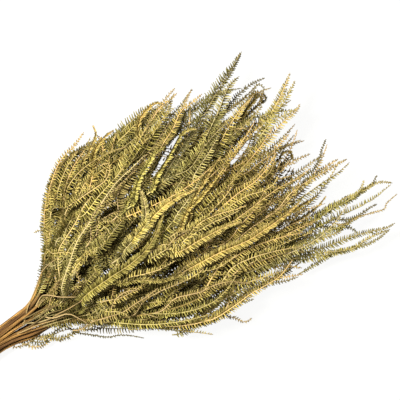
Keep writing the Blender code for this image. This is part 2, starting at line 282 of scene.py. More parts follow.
# %% [markdown]
# ## The stems' flow
#
# In a real sheaf the stems are packed side by side in the tie and then open out like the hairs of
# a brush. That is modelled as one flow: a stem's seat in the tie decides its place in the fan, and
# every line eases from the one to the other. Lines of one flow never cross, which is why no stem
# runs through another. The sizes are those of the plain model.

# %% Sizes of the tie and the flow
SEED = 84
SEAT_PITCH = 0.0045
SEAT_RINGS = 3
STEM_RADIUS = 0.0024
TWIG_RADIUS = 0.0010
TAPER_LENGTH = 0.400
TWINE_DIAMETER = 0.0026
TWINE_TURNS = 3
TWINE_GAP = 0.0004
TIE_SIDES = 16
TAIL_LENGTH, TAIL_JITTER, TAIL_FLARE, TAIL_RISE = 0.108, 0.010, 1.22, 0.3
FAN_TWIST, FAN_SQUARE = 11.0, (0.72, 0.45)
SHOULDER_HALF_WIDTH, SHOULDER_FROM, SHOULDER_TO = 0.108, 0.085, 0.245
SHOULDER_CLOSING, SHOULDER_CLOSED_AT = 0.10, 0.420
TRAIL_HALF_WIDTH, TRAIL_FROM, TRAIL_TO = 0.136, 0.030, 0.285
TRAIL_SPREAD, TRAIL_SPREADS_FROM = 0.18, 0.320
FAN_HEIGHT, FAN_FROM, FAN_TO = 0.096, 0.020, 0.250
FAN_DOME, FAN_FLOOR = 0.42, 0.0026
TIP_DROP_FROM, TIP_DROP = 0.300, 0.30
REACH = ((-1.00, 0.400), (-0.80, 0.500), (-0.60, 0.525), (-0.35, 0.510), (-0.10, 0.495),
         (0.20, 0.505), (0.55, 0.495), (0.74, 0.480), (0.90, 0.385), (1.00, 0.310))
TOP_LAYER_SHORTER = 0.30
STEP_ALONG, PATH_END, LOOK_AHEAD = 0.002, 0.640, 0.006
TIE_HALF_WIDTH = TWINE_DIAMETER * TWINE_TURNS / 2
PACK_RADIUS = SEAT_PITCH * math.sqrt(7)
TIE_INNER = PACK_RADIUS + STEM_RADIUS + TWINE_GAP
TIE_OUTER = TIE_INNER + TWINE_DIAMETER
TIE_HEIGHT = TIE_OUTER * math.cos(math.pi / TIE_SIDES)
print("tie", round(TIE_OUTER * 2000, 1), "mm across")

# %% Seats in the tie
def ease(x, start, end):
    """0 before start, 1 after end, and a smooth S between them."""
    t = np.clip((x - start) / (end - start), 0, 1)
    return t * t * (3 - 2 * t)


def stem_seats():
    """Where each stem stands in the tie's section, as (sideways, upwards) from its middle."""
    seats = []
    for i in range(-SEAT_RINGS, SEAT_RINGS + 1):
        for j in range(-SEAT_RINGS, SEAT_RINGS + 1):
            ring = max(abs(i), abs(j), abs(i + j))
            corner = ring == SEAT_RINGS and 0 in (i, j, i + j)
            if ring <= SEAT_RINGS and not corner:
                seats.append((SEAT_PITCH * math.sqrt(0.75) * j, SEAT_PITCH * (i + j / 2)))
    return sorted(seats, key=lambda seat: (round(seat[1], 5), seat[0]))


def place_in_fan(seat):
    """A stem's place in the fan, from -1 to 1 sideways and upwards."""
    twist = math.radians(FAN_TWIST)
    across = (seat[0] * math.cos(twist) - seat[1] * math.sin(twist)) / PACK_RADIUS
    up = (seat[0] * math.sin(twist) + seat[1] * math.cos(twist)) / PACK_RADIUS
    squared = [math.sqrt(1 - FAN_SQUARE[0] * up**2), math.sqrt(1 - FAN_SQUARE[1] * across**2)]
    return across / squared[0], up / squared[1]


print(len(stem_seats()), "seats")

# %% [markdown]
# ## Helpers for lines
#
# Stems, ribs and twine are all lines through points, and each is handled in the same way: measure
# along it, read off the point at some distance, and scale a direction to length one. These helpers
# work on whole arrays, which is far quicker than a loop over single points.

# %% Measure along a line, read off points, scale directions
def distances(line):
    """How far along a line each of its points lies."""
    return np.concatenate([[0], np.cumsum(np.linalg.norm(np.diff(line, axis=0), axis=1))])


def read_off(wanted, places, points):
    """The points of a line at the wanted places along it."""
    return np.stack([np.interp(wanted, places, points[:, k]) for k in range(3)], axis=-1)


def unit(vectors):
    """The same directions, each of length 1."""
    return vectors / np.linalg.norm(vectors, axis=-1, keepdims=True)


print("line helpers ready")

# %% [markdown]
# ## The line of one stem
#
# A dried stem is straight in the tie and bends out into its place in the fan. Its line could be a
# drawn curve, but then 31 curves would have to be kept apart by hand. Here each is worked out from
# its seat, as in the plain model. Its thickness runs from that of a stem to that of a twig.

# %% One stem's line
class Stem:
    """One stem's line through the bunch."""

    def __init__(self, number, seat, rng):
        self.number = number
        self.seat = seat
        self.across, self.up = place_in_fan(seat)
        self.tail = TAIL_LENGTH + rng.uniform(-TAIL_JITTER, TAIL_JITTER)
        x = np.arange(-self.tail, PATH_END, STEP_ALONG)
        self.points = self.flow(x)
        self.along = distances(self.points)
        self.along -= np.interp(0, x, self.along)
        reach = np.interp(self.across, *zip(*REACH))
        shorter = TOP_LAYER_SHORTER * max(0.0, self.up) * rng.uniform(0.5, 1.0)
        self.tip = np.interp(reach * (1 - shorter), x, self.along)

    def flow(self, x):
        """Points of the line at these distances from the tie."""
        if self.across > 0:
            closing = 1 - SHOULDER_CLOSING * ease(x, SHOULDER_TO, SHOULDER_CLOSED_AT)
            half_width = SHOULDER_HALF_WIDTH * ease(x, SHOULDER_FROM, SHOULDER_TO) * closing
        else:
            spread = TRAIL_SPREAD * np.maximum(0, x - TRAIL_SPREADS_FROM)
            half_width = TRAIL_HALF_WIDTH * ease(x, TRAIL_FROM, TRAIL_TO) + spread
        tail_flare = (TAIL_FLARE - 1) * ease(-x, TIE_HALF_WIDTH, TAIL_LENGTH)
        y = self.seat[0] * (1 + tail_flare) + self.across * half_width
        in_tie = TIE_HEIGHT + self.seat[1] * (1 + tail_flare * TAIL_RISE)
        dome = 1 - FAN_DOME * self.across**2
        drop = 1 - TIP_DROP * ease(x, TIP_DROP_FROM, PATH_END)
        in_fan = FAN_FLOOR + (self.up + 1) / 2 * FAN_HEIGHT * dome * drop
        share = ease(x, FAN_FROM, FAN_TO)
        return np.stack([x, y, in_tie * (1 - share) + in_fan * share], axis=1)

    def at(self, distance):
        """Points at these distances along the line, measured from the tie."""
        return read_off(distance, self.along, self.points)

    def radius(self, distance):
        """How thick the stem is at these distances."""
        share = np.clip(distance / TAPER_LENGTH, 0, 1)
        return STEM_RADIUS + (TWIG_RADIUS - STEM_RADIUS) * share

    def sideways(self, distance):
        """The level direction across the line, to its left."""
        ahead = self.at(distance + LOOK_AHEAD) - self.at(distance - LOOK_AHEAD)
        return unit(np.stack([-ahead[..., 1], ahead[..., 0], 0 * ahead[..., 0]], axis=-1))


draws = np.random.default_rng(SEED)
stems = [Stem(number, seat, draws) for number, seat in enumerate(stem_seats(), 1)]
print("longest stem reaches", round(max(stem.tip for stem in stems), 3), "m from the tie")

# %% [markdown]
# ## One frond
#
# A frond leaves its stem, swings out to one side, may lift or sag, and often hooks a little near
# its tip. Those few numbers give its whole centreline. Modelling each by hand would take days, so
# a habit gives the ranges to draw them from: firm for the main fronds, loose for those that fill
# the bunch. Crisp, bushy and closed are the combs of the fronds that are drawn one by one.

# %% Frond sizes
SHORTEST_SHARE = 0.65
PETIOLE, LAST_LEAFLET = 0.05, 0.985
BLADE_START, BLADE_SWELL, BLADE_TAPER = 0.35, 2.6, 2.4
TIP_HALF_WIDTH = 0.0008
DRAWN_TIP_HALF_WIDTH, DRAWN_TAPER = 0.0014, 3.0
SWING_OUT_OF_BUNCH = 0.35
HOOK_FROM = 0.55
FLAT_BELOW, ROLLED_ABOVE = 0.004, 0.016
RIB_HEIGHT = 0.0016
FRAME_STEP = 0.01

FIRM = dict(swing=(0.008, 0.036), lift=0.020, hook=0.022, reach=(0.0056, 0.0080),
            raised=(-6.0, 22.0), roll=20.0, width=(0.0015, 0.0019), spacing=(0.0029, 0.0034))
LOOSE = dict(swing=(0.003, 0.040), lift=0.020, hook=0.030, reach=(0.0044, 0.0078),
             raised=(-14.0, 20.0), roll=40.0, width=(0.0019, 0.0025), spacing=(0.0030, 0.0036))
FOLDED_UP = 26.0  # how many degrees more than in the plain model the two rows fold up
CLOSED = dict(width=(0.0020, 0.0023), spacing=(0.0015, 0.0017))
CRISP = dict(width=(0.0016, 0.0020), spacing=(0.0029, 0.0034))
BUSHY = dict(width=(0.0017, 0.0021), spacing=(0.0025, 0.0030))
print("frond habits: firm, loose, closed, crisp and bushy")

# %% A frond's centreline and directions
class Frond:
    """One comb-like frond: where it leaves its stem, how it bends, and how wide it is."""

    tier, stout = 0, 1.0  # 1 for a frond that lies on top, 2 for one that lies on those too

    def __init__(self, stem, root, length, rng, calm, habit):
        self.stem, self.root, self.length = stem, root, length
        side = 1 if rng.random() < 0.5 else -1
        outward = max(0.0, side * stem.across)
        held_in = 1 - (1 - SWING_OUT_OF_BUNCH) * min(1.0, outward)
        self.swing = side * rng.uniform(*habit["swing"]) * calm * held_in
        self.lift = rng.uniform(-habit["lift"], habit["lift"]) * calm
        self.hook = rng.uniform(-habit["hook"], habit["hook"]) * calm
        self.reach = rng.uniform(*habit["reach"])
        self.habit = habit
        self.raised = math.radians(rng.uniform(*habit["raised"]) + FOLDED_UP)
        self.roll = math.radians(rng.uniform(-habit["roll"], habit["roll"]))

    def centreline(self, t):
        """Points on the underside of the rib, for shares t of the length."""
        distance = self.root + self.length * t
        leaving = 1 - (1 - t) ** 2
        hooking = np.clip((t - HOOK_FROM) / (1 - HOOK_FROM), 0, 1) ** 2
        aside = self.swing * leaving + self.hook * hooking
        line = self.stem.at(distance) + self.stem.sideways(distance) * aside[:, None]
        line[:, 2] = np.maximum(line[:, 2] + self.lift * leaving, 0)
        return line

    def half_width(self, t):
        """How far the leaflets reach to each side, for shares t of the length."""
        blade = self.reach * np.minimum(1, BLADE_START + BLADE_SWELL * t) * (1 - t**BLADE_TAPER)
        return blade + TIP_HALF_WIDTH

    def directions(self, t):
        """Ahead, up and left on the blade at shares t of its length."""
        t = np.clip(t, FRAME_STEP, 1 - FRAME_STEP)
        ahead = unit(self.centreline(t + FRAME_STEP) - self.centreline(t - FRAME_STEP))
        up = unit(np.array([0, 0, 1]) - ahead * ahead[:, 2:])
        left = np.cross(up, ahead)
        free = ease(self.centreline(t)[:, 2:], FLAT_BELOW, ROLLED_ABOVE)
        cosine, sine = np.cos(self.roll * free), np.sin(self.roll * free)
        return ahead, up * cosine + left * sine, left * cosine - up * sine


print("frond ready")

# %% [markdown]
# ## The main fronds
#
# The main fronds are placed just as in the plain model, with the same seed, so that each fine frond
# lies where its plain one is. Every stem gets its terminal frond first and its side fronds in turn.
# A frond is drawn again, each time a little calmer, until it keeps clear of all the other stems.

# %% Place the main fronds
TERMINAL_LENGTH, SIDE_LENGTH = (0.135, 0.165), (0.100, 0.145)
FIRST_FROND_AT, FROND_SPACING, SPACING_SPREAD = (0.088, 0.125), 0.072, (0.85, 1.15)
LAST_SIDE_FROND = 0.020
CALMEST, CLEAR_GAP, FLATNESS = 0.1, 0.0010, 1.6
TRIES, SAMPLES = 60, 28
STEM_SAMPLE_STEP, SEARCH_REACH = 0.004, 0.030


def clear_of(line, widths, others):
    """True where the flattened tube round a line stays out of the tubes already placed."""
    placed = np.concatenate([other[0] for other in others])
    placed_widths = np.concatenate([other[1] for other in others])
    squash = np.array([1, 1, FLATNESS])
    low, high = line.min(axis=0) - SEARCH_REACH, line.max(axis=0) + SEARCH_REACH
    near = ((placed > low) & (placed < high)).all(axis=1)
    between = line[:, None] * squash - placed[near][None] * squash
    gaps = np.linalg.norm(between, axis=2) - widths[:, None] - placed_widths[near][None]
    return bool((gaps > CLEAR_GAP).all())


def fronds_wanted(stem, rng):
    """Roots and lengths of a stem's fronds: the terminal one first, then the side ones."""
    last = rng.uniform(*TERMINAL_LENGTH)
    wanted = [(stem.tip - last, last)]
    root = rng.uniform(*FIRST_FROND_AT)
    while root < stem.tip - last - LAST_SIDE_FROND:
        wanted.append((root, rng.uniform(*SIDE_LENGTH)))
        root += FROND_SPACING * rng.uniform(*SPACING_SPREAD)
    return wanted


def place_fronds(stems, rng):
    """Gives every stem its fronds, each one bent until it is clear of all the other stems."""
    t = np.linspace(0, 1, SAMPLES)
    taken = {}
    for stem in stems:
        distance = np.arange(-stem.tail, stem.tip - TERMINAL_LENGTH[1], STEM_SAMPLE_STEP)
        taken[stem.number] = [(stem.at(distance), stem.radius(distance))]
    wanted = {stem.number: fronds_wanted(stem, rng) for stem in stems}
    placed = {stem.number: [] for stem in stems}
    for turn in range(max(len(rows) for rows in wanted.values())):
        for stem in stems:
            if turn >= len(wanted[stem.number]):
                continue
            root, length = wanted[stem.number][turn]
            others = [tube for number in taken if number != stem.number for tube in taken[number]]
            for attempt in range(TRIES):
                crowded = attempt / TRIES
                calm = 1 - (1 - CALMEST) * crowded
                shortened = length * (1 - (1 - SHORTEST_SHARE) * crowded)
                frond = Frond(stem, root, shortened, rng, calm, FIRM)
                line, widths = frond.centreline(t), frond.half_width(t)
                if clear_of(line, widths, others):
                    taken[stem.number].append((line, widths))
                    placed[stem.number].append(frond)
                    break
    return placed, taken


fronds, taken = place_fronds(stems, draws)
t_samples = np.linspace(0, 1, SAMPLES)
print(sum(len(rows) for rows in fronds.values()), "main fronds")

# %% [markdown]
# ## From a spot of the photograph to a point of the bunch
#
# Some fronds give this bunch its face: the hooked yellow-green ones beside the slit, the spikes at
# the top, the long sprays on the right. Each is drawn through a few spots read off the photograph.
# The camera's own sums, run backwards, turn a spot and a height into a point. The height isn't
# visible from above, so it is given as a share of the height of the bunch there.

# %% From the picture to the bunch
PICTURE = 400  # the picture's width and height in pixels


def from_picture(x, y, height):
    """The point of the bunch, measured from the tie, that shows at this spot of the picture."""
    scale = SEEN_WIDTH / PICTURE * (CAMERA_HEIGHT - height) / (CAMERA_HEIGHT - MIDDLE_HEIGHT)
    right, up = (x - PICTURE / 2) * scale, (PICTURE / 2 - y) * scale
    along = right * math.cos(ROLL) + up * math.sin(ROLL)
    across = up * math.cos(ROLL) - right * math.sin(ROLL)
    return np.stack([along + LOOK_AT[0], across + LOOK_AT[1], height + 0 * x], axis=-1)


def dome_height(points):
    """The height of the bunch's upper side above these points."""
    x, y = points[..., 0], points[..., 1]
    shoulder = STEM_RADIUS + SHOULDER_HALF_WIDTH * ease(x, SHOULDER_FROM, SHOULDER_TO)
    trail = STEM_RADIUS + TRAIL_HALF_WIDTH * ease(x, TRAIL_FROM, TRAIL_TO)
    across = np.clip(y / np.where(y > 0, shoulder, trail), -1, 1)
    dome = (1 - FAN_DOME * across**2) * (1 - TIP_DROP * ease(x, TIP_DROP_FROM, PATH_END))
    share = ease(x, FAN_FROM, FAN_TO)
    return (TIE_HEIGHT + PACK_RADIUS) * (1 - share) + (FAN_FLOOR + FAN_HEIGHT * dome) * share


def smooth_line(spots, count=72):
    """A smooth curve through the spots, as evenly spaced points."""
    steps = np.linalg.norm(np.diff(spots, axis=0), axis=1)
    knots = distances(spots)
    slopes = np.gradient(spots, knots, axis=0)
    fine = np.linspace(0, knots[-1], count * 3)
    index = np.clip(np.searchsorted(knots, fine, side="right") - 1, 0, len(steps) - 1)
    span = steps[index][:, None]
    t = (fine[:, None] - knots[index][:, None]) / span
    start, end = spots[index], spots[index + 1]
    line = (2 * t**3 - 3 * t**2 + 1) * start + (3 * t**2 - 2 * t**3) * end
    line += (t**3 - 2 * t**2 + t) * span * slopes[index] + (t**3 - t**2) * span * slopes[index + 1]
    along = distances(line)
    return read_off(np.linspace(0, along[-1], count), along, line), along[-1]


print("bunch is", round(float(dome_height(np.array([0.3, 0.0]))), 3), "m high in its middle")

# %% [markdown]
# ## Tucking in the main fronds
#
# The real bunch has a clear outline with notches in it, and the plain model's fronds cross it in
# places. Moving them by hand would have to be done again after each change. So the outline is
# written down once, and a frond that crosses it is bent inward and shortened in small steps.

# %% Keep the main fronds inside the outline
OUTLINE = (  # the outline of the whole bunch in the picture
    0, 326, 28, 300, 42, 270, 42, 240, 42, 205, 48, 175, 58, 152, 75, 136, 92, 126, 112, 126,
    122, 130, 132, 116, 150, 104, 172, 90, 196, 96, 206, 100, 224, 74, 240, 54, 246, 60,
    240, 80, 262, 80, 268, 100, 284, 84, 296, 84, 298, 106, 292, 132, 300, 150, 312, 150,
    324, 140, 330, 142, 322, 160, 346, 158, 330, 180, 350, 184, 376, 178, 392, 184, 388, 200,
    396, 200, 390, 228, 370, 246, 340, 254, 308, 262, 302, 272, 290, 282, 268, 290, 252, 300,
    238, 314, 214, 330, 200, 330, 150, 328, 100, 326, 60, 330, 36, 340, 0, 350,
)
TUCK_STEP, TUCK_STEPS, TUCK_SHORTER = 0.0025, 6, 0.95
OUTSIDE_ALLOWED = 0.08  # the share of a frond that may cross the outline


def in_outline(x, y, outline):
    """Where points lie inside a closed outline."""
    inside = np.zeros(len(x), bool)
    for (x1, y1), (x2, y2) in zip(outline, np.roll(outline, -1, axis=0)):
        between = (y1 > y) != (y2 > y)
        inside ^= between & (x < x1 + (x2 - x1) * (y - y1) / (y2 - y1 + 1e-12))
    return inside


def outline_from(spots):
    """The level outline that a flat list of spots of the picture stands for."""
    spots = np.array(spots, float).reshape(-1, 2)
    return from_picture(spots[:, 0], spots[:, 1], MIDDLE_HEIGHT)[:, :2]


def share_outside(frond):
    """How much of a frond lies outside the outline."""
    line = frond.centreline(t_samples)
    return 1 - in_outline(line[:, 0], line[:, 1], whole_outline).mean()


whole_outline = outline_from(OUTLINE)
tucked = 0
for rows in fronds.values():
    for frond in rows:
        inward = -1 if frond.stem.across > 0 else 1
        for _ in range(TUCK_STEPS):
            if share_outside(frond) > OUTSIDE_ALLOWED:
                frond.swing += inward * TUCK_STEP
                frond.hook += inward * TUCK_STEP
                frond.length *= TUCK_SHORTER
                tucked += 1
print(tucked, "small moves to keep the main fronds inside the outline")

# %% [markdown]
# ## A frond drawn through given spots
#
# On the real bunch a frond can be seen from its tip back to where others hide it. From there its
# foot is led back to the stem that passes nearest behind it, and a smooth curve joins all of it.
# Dry combs also fold: both rows show, or one side is turned up, or the comb is nearly shut. A bare
# one is a twig. A word for each of these is easier to keep right than two angles in every row.

# %% A frond drawn through given spots
FOOT_BEHIND, FOOT_DROP = 0.030, 0.008
LEAST_ROOT, FOOT_WEIGHTS = 0.050, np.array([1, 1, 0.5])  # height counts for less than place
FIRST_HEIGHT, HEIGHT_ROUNDS = 0.04, 3  # a spot's place depends on its height, so both are refined
TOP_LIMIT, ON_TOP = 0.0985, (1.1, 1.2)  # from these levels a frond lies on the others
FOLDS = {  # in degrees, how far the rows are raised and how far the frond is rolled to its left
    "both": (22, 0), "left": (52, 38), "right": (52, -38), "half": (46, 0), "shut": (62, 0),
    "dense": (42, 0), "bare": (0, 0),
}
CLOSE_SET, CLOSE_SET_FROM = ("shut", "dense"), 3  # folds and leaflet length of the closed combs
BARE_STOUT = 1.25


class DrawnFrond(Frond):
    """A frond through spots read off the picture, with its foot on the nearest stem."""

    def __init__(self, habit, fold, reach, level, spots):
        flat = np.array(spots, float).reshape(-1, 2)
        height = np.full(len(flat), FIRST_HEIGHT)
        for _ in range(HEIGHT_ROUNDS):
            line = from_picture(flat[:, 0], flat[:, 1], height)
            height = np.minimum(dome_height(line) * level, TOP_LIMIT)
        ahead = (line[1] - line[0]) / np.linalg.norm(line[1] - line[0])
        wanted = line[0] - ahead * FOOT_BEHIND - np.array([0, 0, FOOT_DROP])
        best = None
        for stem in stems:
            distance = np.arange(LEAST_ROOT, stem.tip - FOOT_BEHIND, STEM_SAMPLE_STEP)
            gaps = np.linalg.norm((stem.at(distance) - wanted) * FOOT_WEIGHTS, axis=1)
            if best is None or gaps.min() < best[0]:
                best = (gaps.min(), stem, distance[gaps.argmin()])
        _, self.stem, self.root = best
        foot = self.stem.at(np.array([self.root, self.root + LOOK_AHEAD]))
        self.path, self.length = smooth_line(np.concatenate([foot, line]))
        self.reach = reach / 1000
        self.habit = CLOSED if fold in CLOSE_SET and reach > CLOSE_SET_FROM else habit
        self.stout = BARE_STOUT if fold == "bare" else 1.0
        self.tier = (level >= ON_TOP[0]) + (level >= ON_TOP[1])
        raised, roll = FOLDS[fold]
        self.raised, self.roll = math.radians(raised), math.radians(roll)

    def half_width(self, t):
        blade = np.minimum(1, BLADE_START + BLADE_SWELL * t) * (1 - t**DRAWN_TAPER)
        return self.reach * blade + min(DRAWN_TIP_HALF_WIDTH, self.reach)

    def centreline(self, t):
        return read_off(t, np.linspace(0, 1, len(self.path)), self.path)


print("folds:", ", ".join(FOLDS))

# %% [markdown]
# ## The fronds of the shoulder
#
# At the left the bunch has a rounded shoulder of upright gold and green combs, which close its
# outline. Random fronds would leave it ragged, so these are drawn one by one. A row of the table
# gives the leaf's look, its fold, the length of its leaflets in millimetres, its level in the bunch,
# and the spots that it passes through, from the foot to the tip.

# %% Fronds of the shoulder
SHOULDER_FRONDS = (
    ("gold", "both", 5, 1.0, (47, 225, 49, 193, 54, 175, 63, 157, 74, 146, 84, 132)),
    ("olive", "both", 6, 0.6, (46, 245, 46, 215, 48, 192, 54, 174, 61, 160)),
    ("green", "right", 8, 0.95, (62, 208, 63, 185, 71, 171, 80, 157, 90, 137)),
    ("straw", "both", 5, 1.0, (76, 202, 84, 185, 91, 173, 94, 166, 91, 159)),
    ("gold", "shut", 6, 1.05, (78, 182, 84, 160, 93, 144, 96, 135, 93, 125)),
    ("gold", "both", 6, 1.0, (88, 192, 95, 169, 103, 152, 102, 142, 97, 135)),
    ("gold", "shut", 7, 1.0, (92, 168, 97, 147, 104, 138, 114, 130)),
    ("gold", "left", 6, 1.0, (105, 178, 109, 162, 113, 147, 117, 133)),
    ("lime", "both", 8, 1.15, (86, 213, 98, 197, 107, 187, 116, 177, 124, 167)),
    ("straw", "both", 4, 1.1, (78, 200, 97, 187, 106, 180, 110, 171, 108, 163, 100, 166)),
    ("tan", "right", 4, 1.2, (91, 219, 108, 196, 122, 182, 137, 168)),
    ("straw", "left", 6, 1.1, (70, 206, 84, 194, 95, 186, 105, 180)),
    ("gold", "left", 6, 0.9, (54, 218, 56, 196, 62, 178, 68, 164, 77, 151)),
    ("green", "both", 6, 0.9, (47, 265, 49, 242, 52, 216, 58, 196)),
    ("straw", "both", 6, 1.0, (57, 262, 60, 240, 63, 220, 70, 204)),
    ("green", "right", 6, 1.0, (68, 268, 72, 245, 78, 226, 88, 212)),
    ("olive", "both", 6, 1.0, (84, 265, 88, 246, 96, 230, 108, 216)),
    ("straw", "both", 5, 1.05, (67, 292, 72, 276, 79, 263, 94, 249)),
    ("tan", "left", 4, 1.1, (82, 300, 90, 288, 98, 267, 106, 251)),
    ("green", "both", 6, 1.1, (92, 262, 94, 250, 99, 240, 106, 232)),
    ("olive", "left", 7, 1.0, (60, 240, 66, 222, 76, 208, 88, 196)),
    ("gold", "both", 5, 0.8, (46, 235, 44, 218, 46, 202, 50, 186)),
    ("green", "both", 6, 1.0, (55, 206, 58, 191, 63, 176, 70, 162, 78, 151)),
    ("gold", "both", 5, 1.0, (62, 204, 65, 189, 70, 174, 77, 161, 85, 150)),
)
print(len(SHOULDER_FRONDS), "fronds drawn on the shoulder")

# %% [markdown]
# ## The fronds of the upper side
#
# Along the top of the picture stand the features that the eye goes to first: bright hooked combs
# beside the slit, dull grey spikes, and small brown curls at the upper right. Their rows are the
# same as above. The low ones are drawn too, because they close the view down to the floor.

# %% Fronds of the upper side
UPPER_FRONDS = (
    ("lime", "shut", 6, 1.2, (158, 172, 169, 154, 174, 143, 182, 134, 189, 130, 197, 129)),
    ("lime", "shut", 6, 1.2, (138, 182, 146, 168, 151, 159, 155, 153, 160, 150, 168, 149)),
    ("lime", "shut", 4, 1.1, (130, 196, 139, 182, 145, 176, 153, 174)),
    ("green", "left", 9, 1.05, (120, 178, 133, 160, 146, 141, 158, 128, 165, 118, 175, 108)),
    ("straw", "left", 9, 1.05, (122, 170, 131, 155, 138, 143, 149, 125)),
    ("gold", "both", 6, 1.0, (160, 150, 173, 129, 183, 109, 193, 102, 202, 94)),
    ("tan", "both", 4, 0.95, (170, 135, 180, 114, 186, 100, 192, 89)),
    ("tan", "both", 3, 0.9, (148, 124, 160, 106, 167, 97, 175, 88)),
    ("gold", "both", 3, 0.9, (152, 120, 163, 105, 171, 99, 177, 93)),
    ("olive", "both", 10, 0.9, (112, 150, 121, 133, 131, 122, 142, 112, 155, 103)),
    ("gold", "shut", 6, 0.95, (140, 120, 148, 109, 156, 103, 164, 104)),
    ("tan", "right", 9, 1.1, (118, 192, 125, 181, 145, 156, 155, 144, 165, 128, 170, 120)),
    ("tan", "right", 4, 1.0, (150, 165, 162, 147, 170, 133, 178, 122)),
    ("green", "both", 9, 0.9, (108, 160, 116, 144, 126, 134, 136, 124, 146, 117)),
    ("olive", "right", 9, 1.0, (134, 196, 146, 180, 158, 160, 170, 142)),
    ("grey", "both", 4, 0.8, (172, 142, 180, 128, 186, 118, 191, 113, 187, 110, 184, 115,
     187, 120)),
    ("grey", "shut", 2, 0.8, (186, 120, 192, 112, 197, 110, 197, 105, 193, 106)),
    ("green", "both", 8, 0.95, (150, 140, 158, 126, 166, 114, 172, 100)),
    ("olive", "both", 8, 0.8, (164, 142, 173, 126, 180, 112)),
    ("grey", "left", 10, 0.8, (192, 136, 200, 120, 206, 108, 213, 96, 223, 80, 233, 67, 242, 52)),
    ("pale", "right", 11, 0.95, (206, 136, 215, 119, 221, 105, 226, 92, 232, 82, 239, 76)),
    ("dark", "both", 4, 0.7, (206, 132, 217, 120, 227, 108, 236, 97, 246, 88, 255, 82, 265, 78)),
    ("tan", "shut", 1, 0.9, (212, 134, 221, 126, 240, 110, 252, 98)),
    ("grey", "both", 6, 0.8, (196, 132, 204, 116, 212, 101, 221, 85, 231, 70, 240, 53)),
    ("dark", "both", 3, 0.75, (206, 112, 215, 98, 224, 84, 233, 70, 241, 54)),
    ("pale", "both", 8, 0.95, (210, 130, 216, 116, 223, 100, 229, 86, 237, 78)),
    ("straw", "both", 7, 0.9, (228, 128, 236, 116, 243, 106, 250, 100)),
    ("brown", "both", 4, 0.8, (244, 112, 250, 102, 254, 94, 260, 92, 264, 98, 260, 101)),
    ("brown", "shut", 5, 0.8, (248, 108, 255, 100, 260, 96, 262, 100, 258, 103)),
    ("straw", "both", 6, 0.8, (258, 132, 266, 120, 274, 108, 282, 92, 288, 78)),
    ("pale", "both", 6, 0.8, (262, 134, 272, 122, 282, 116, 292, 112, 299, 107)),
    ("dark", "both", 2, 0.8, (240, 108, 250, 98, 253, 92, 258, 84, 264, 88, 262, 94)),
    ("brown", "shut", 4, 0.8, (246, 110, 254, 101, 256, 95, 261, 97, 259, 102)),
    ("brown", "shut", 4, 0.7, (250, 112, 260, 104, 266, 99, 263, 94, 260, 97)),
    ("green", "both", 6, 0.8, (266, 124, 274, 109, 281, 96, 286, 84, 290, 73)),
    ("green", "both", 6, 0.8, (268, 126, 276, 112, 282, 105, 289, 93, 295, 81)),
    ("straw", "both", 6, 0.8, (256, 152, 267, 142, 277, 129, 286, 119, 296, 111, 300, 104)),
    ("pale", "both", 3, 0.7, (262, 116, 276, 112, 286, 111, 296, 110)),
    ("gold", "both", 6, 0.8, (248, 172, 259, 163, 272, 154, 280, 144, 289, 134)),
    ("brown", "shut", 5, 0.7, (272, 166, 280, 158, 284, 152, 290, 152, 292, 158, 288, 161)),
    ("brown", "both", 4, 0.6, (276, 168, 286, 162, 290, 155, 294, 160)),
    ("tan", "both", 4, 0.7, (270, 172, 284, 166, 298, 159, 310, 154)),
    ("olive", "both", 6, 1.0, (188, 170, 205, 146, 220, 129, 228, 122)),
    ("moss", "left", 8, 1.0, (186, 168, 198, 154, 212, 136, 222, 122)),
    ("pale", "both", 8, 0.95, (194, 176, 204, 160, 213, 146, 219, 134)),
    ("grey", "both", 10, 1.0, (172, 172, 182, 154, 190, 140, 198, 128)),
    ("dark", "both", 8, 1.05, (158, 186, 168, 170, 178, 154, 186, 140, 194, 126)),
    ("olive", "both", 9, 0.8, (206, 166, 218, 150, 232, 136, 246, 124, 256, 112)),
    ("gold", "left", 8, 0.9, (222, 176, 232, 160, 244, 144, 254, 132, 262, 126)),
    ("olive", "both", 6, 0.8, (232, 134, 244, 124, 254, 116, 262, 106)),
    ("gold", "both", 6, 0.85, (232, 180, 246, 164, 258, 150, 268, 136, 274, 126)),
)
print(len(UPPER_FRONDS), "fronds drawn on the upper side")

# %% [markdown]
# ## The fronds of the middle
#
# One long dense comb sweeps from the stems to the middle of the bunch, and broad pale and gold ones
# cross it. Most of them lie on top of the rest, so their level is above 1.

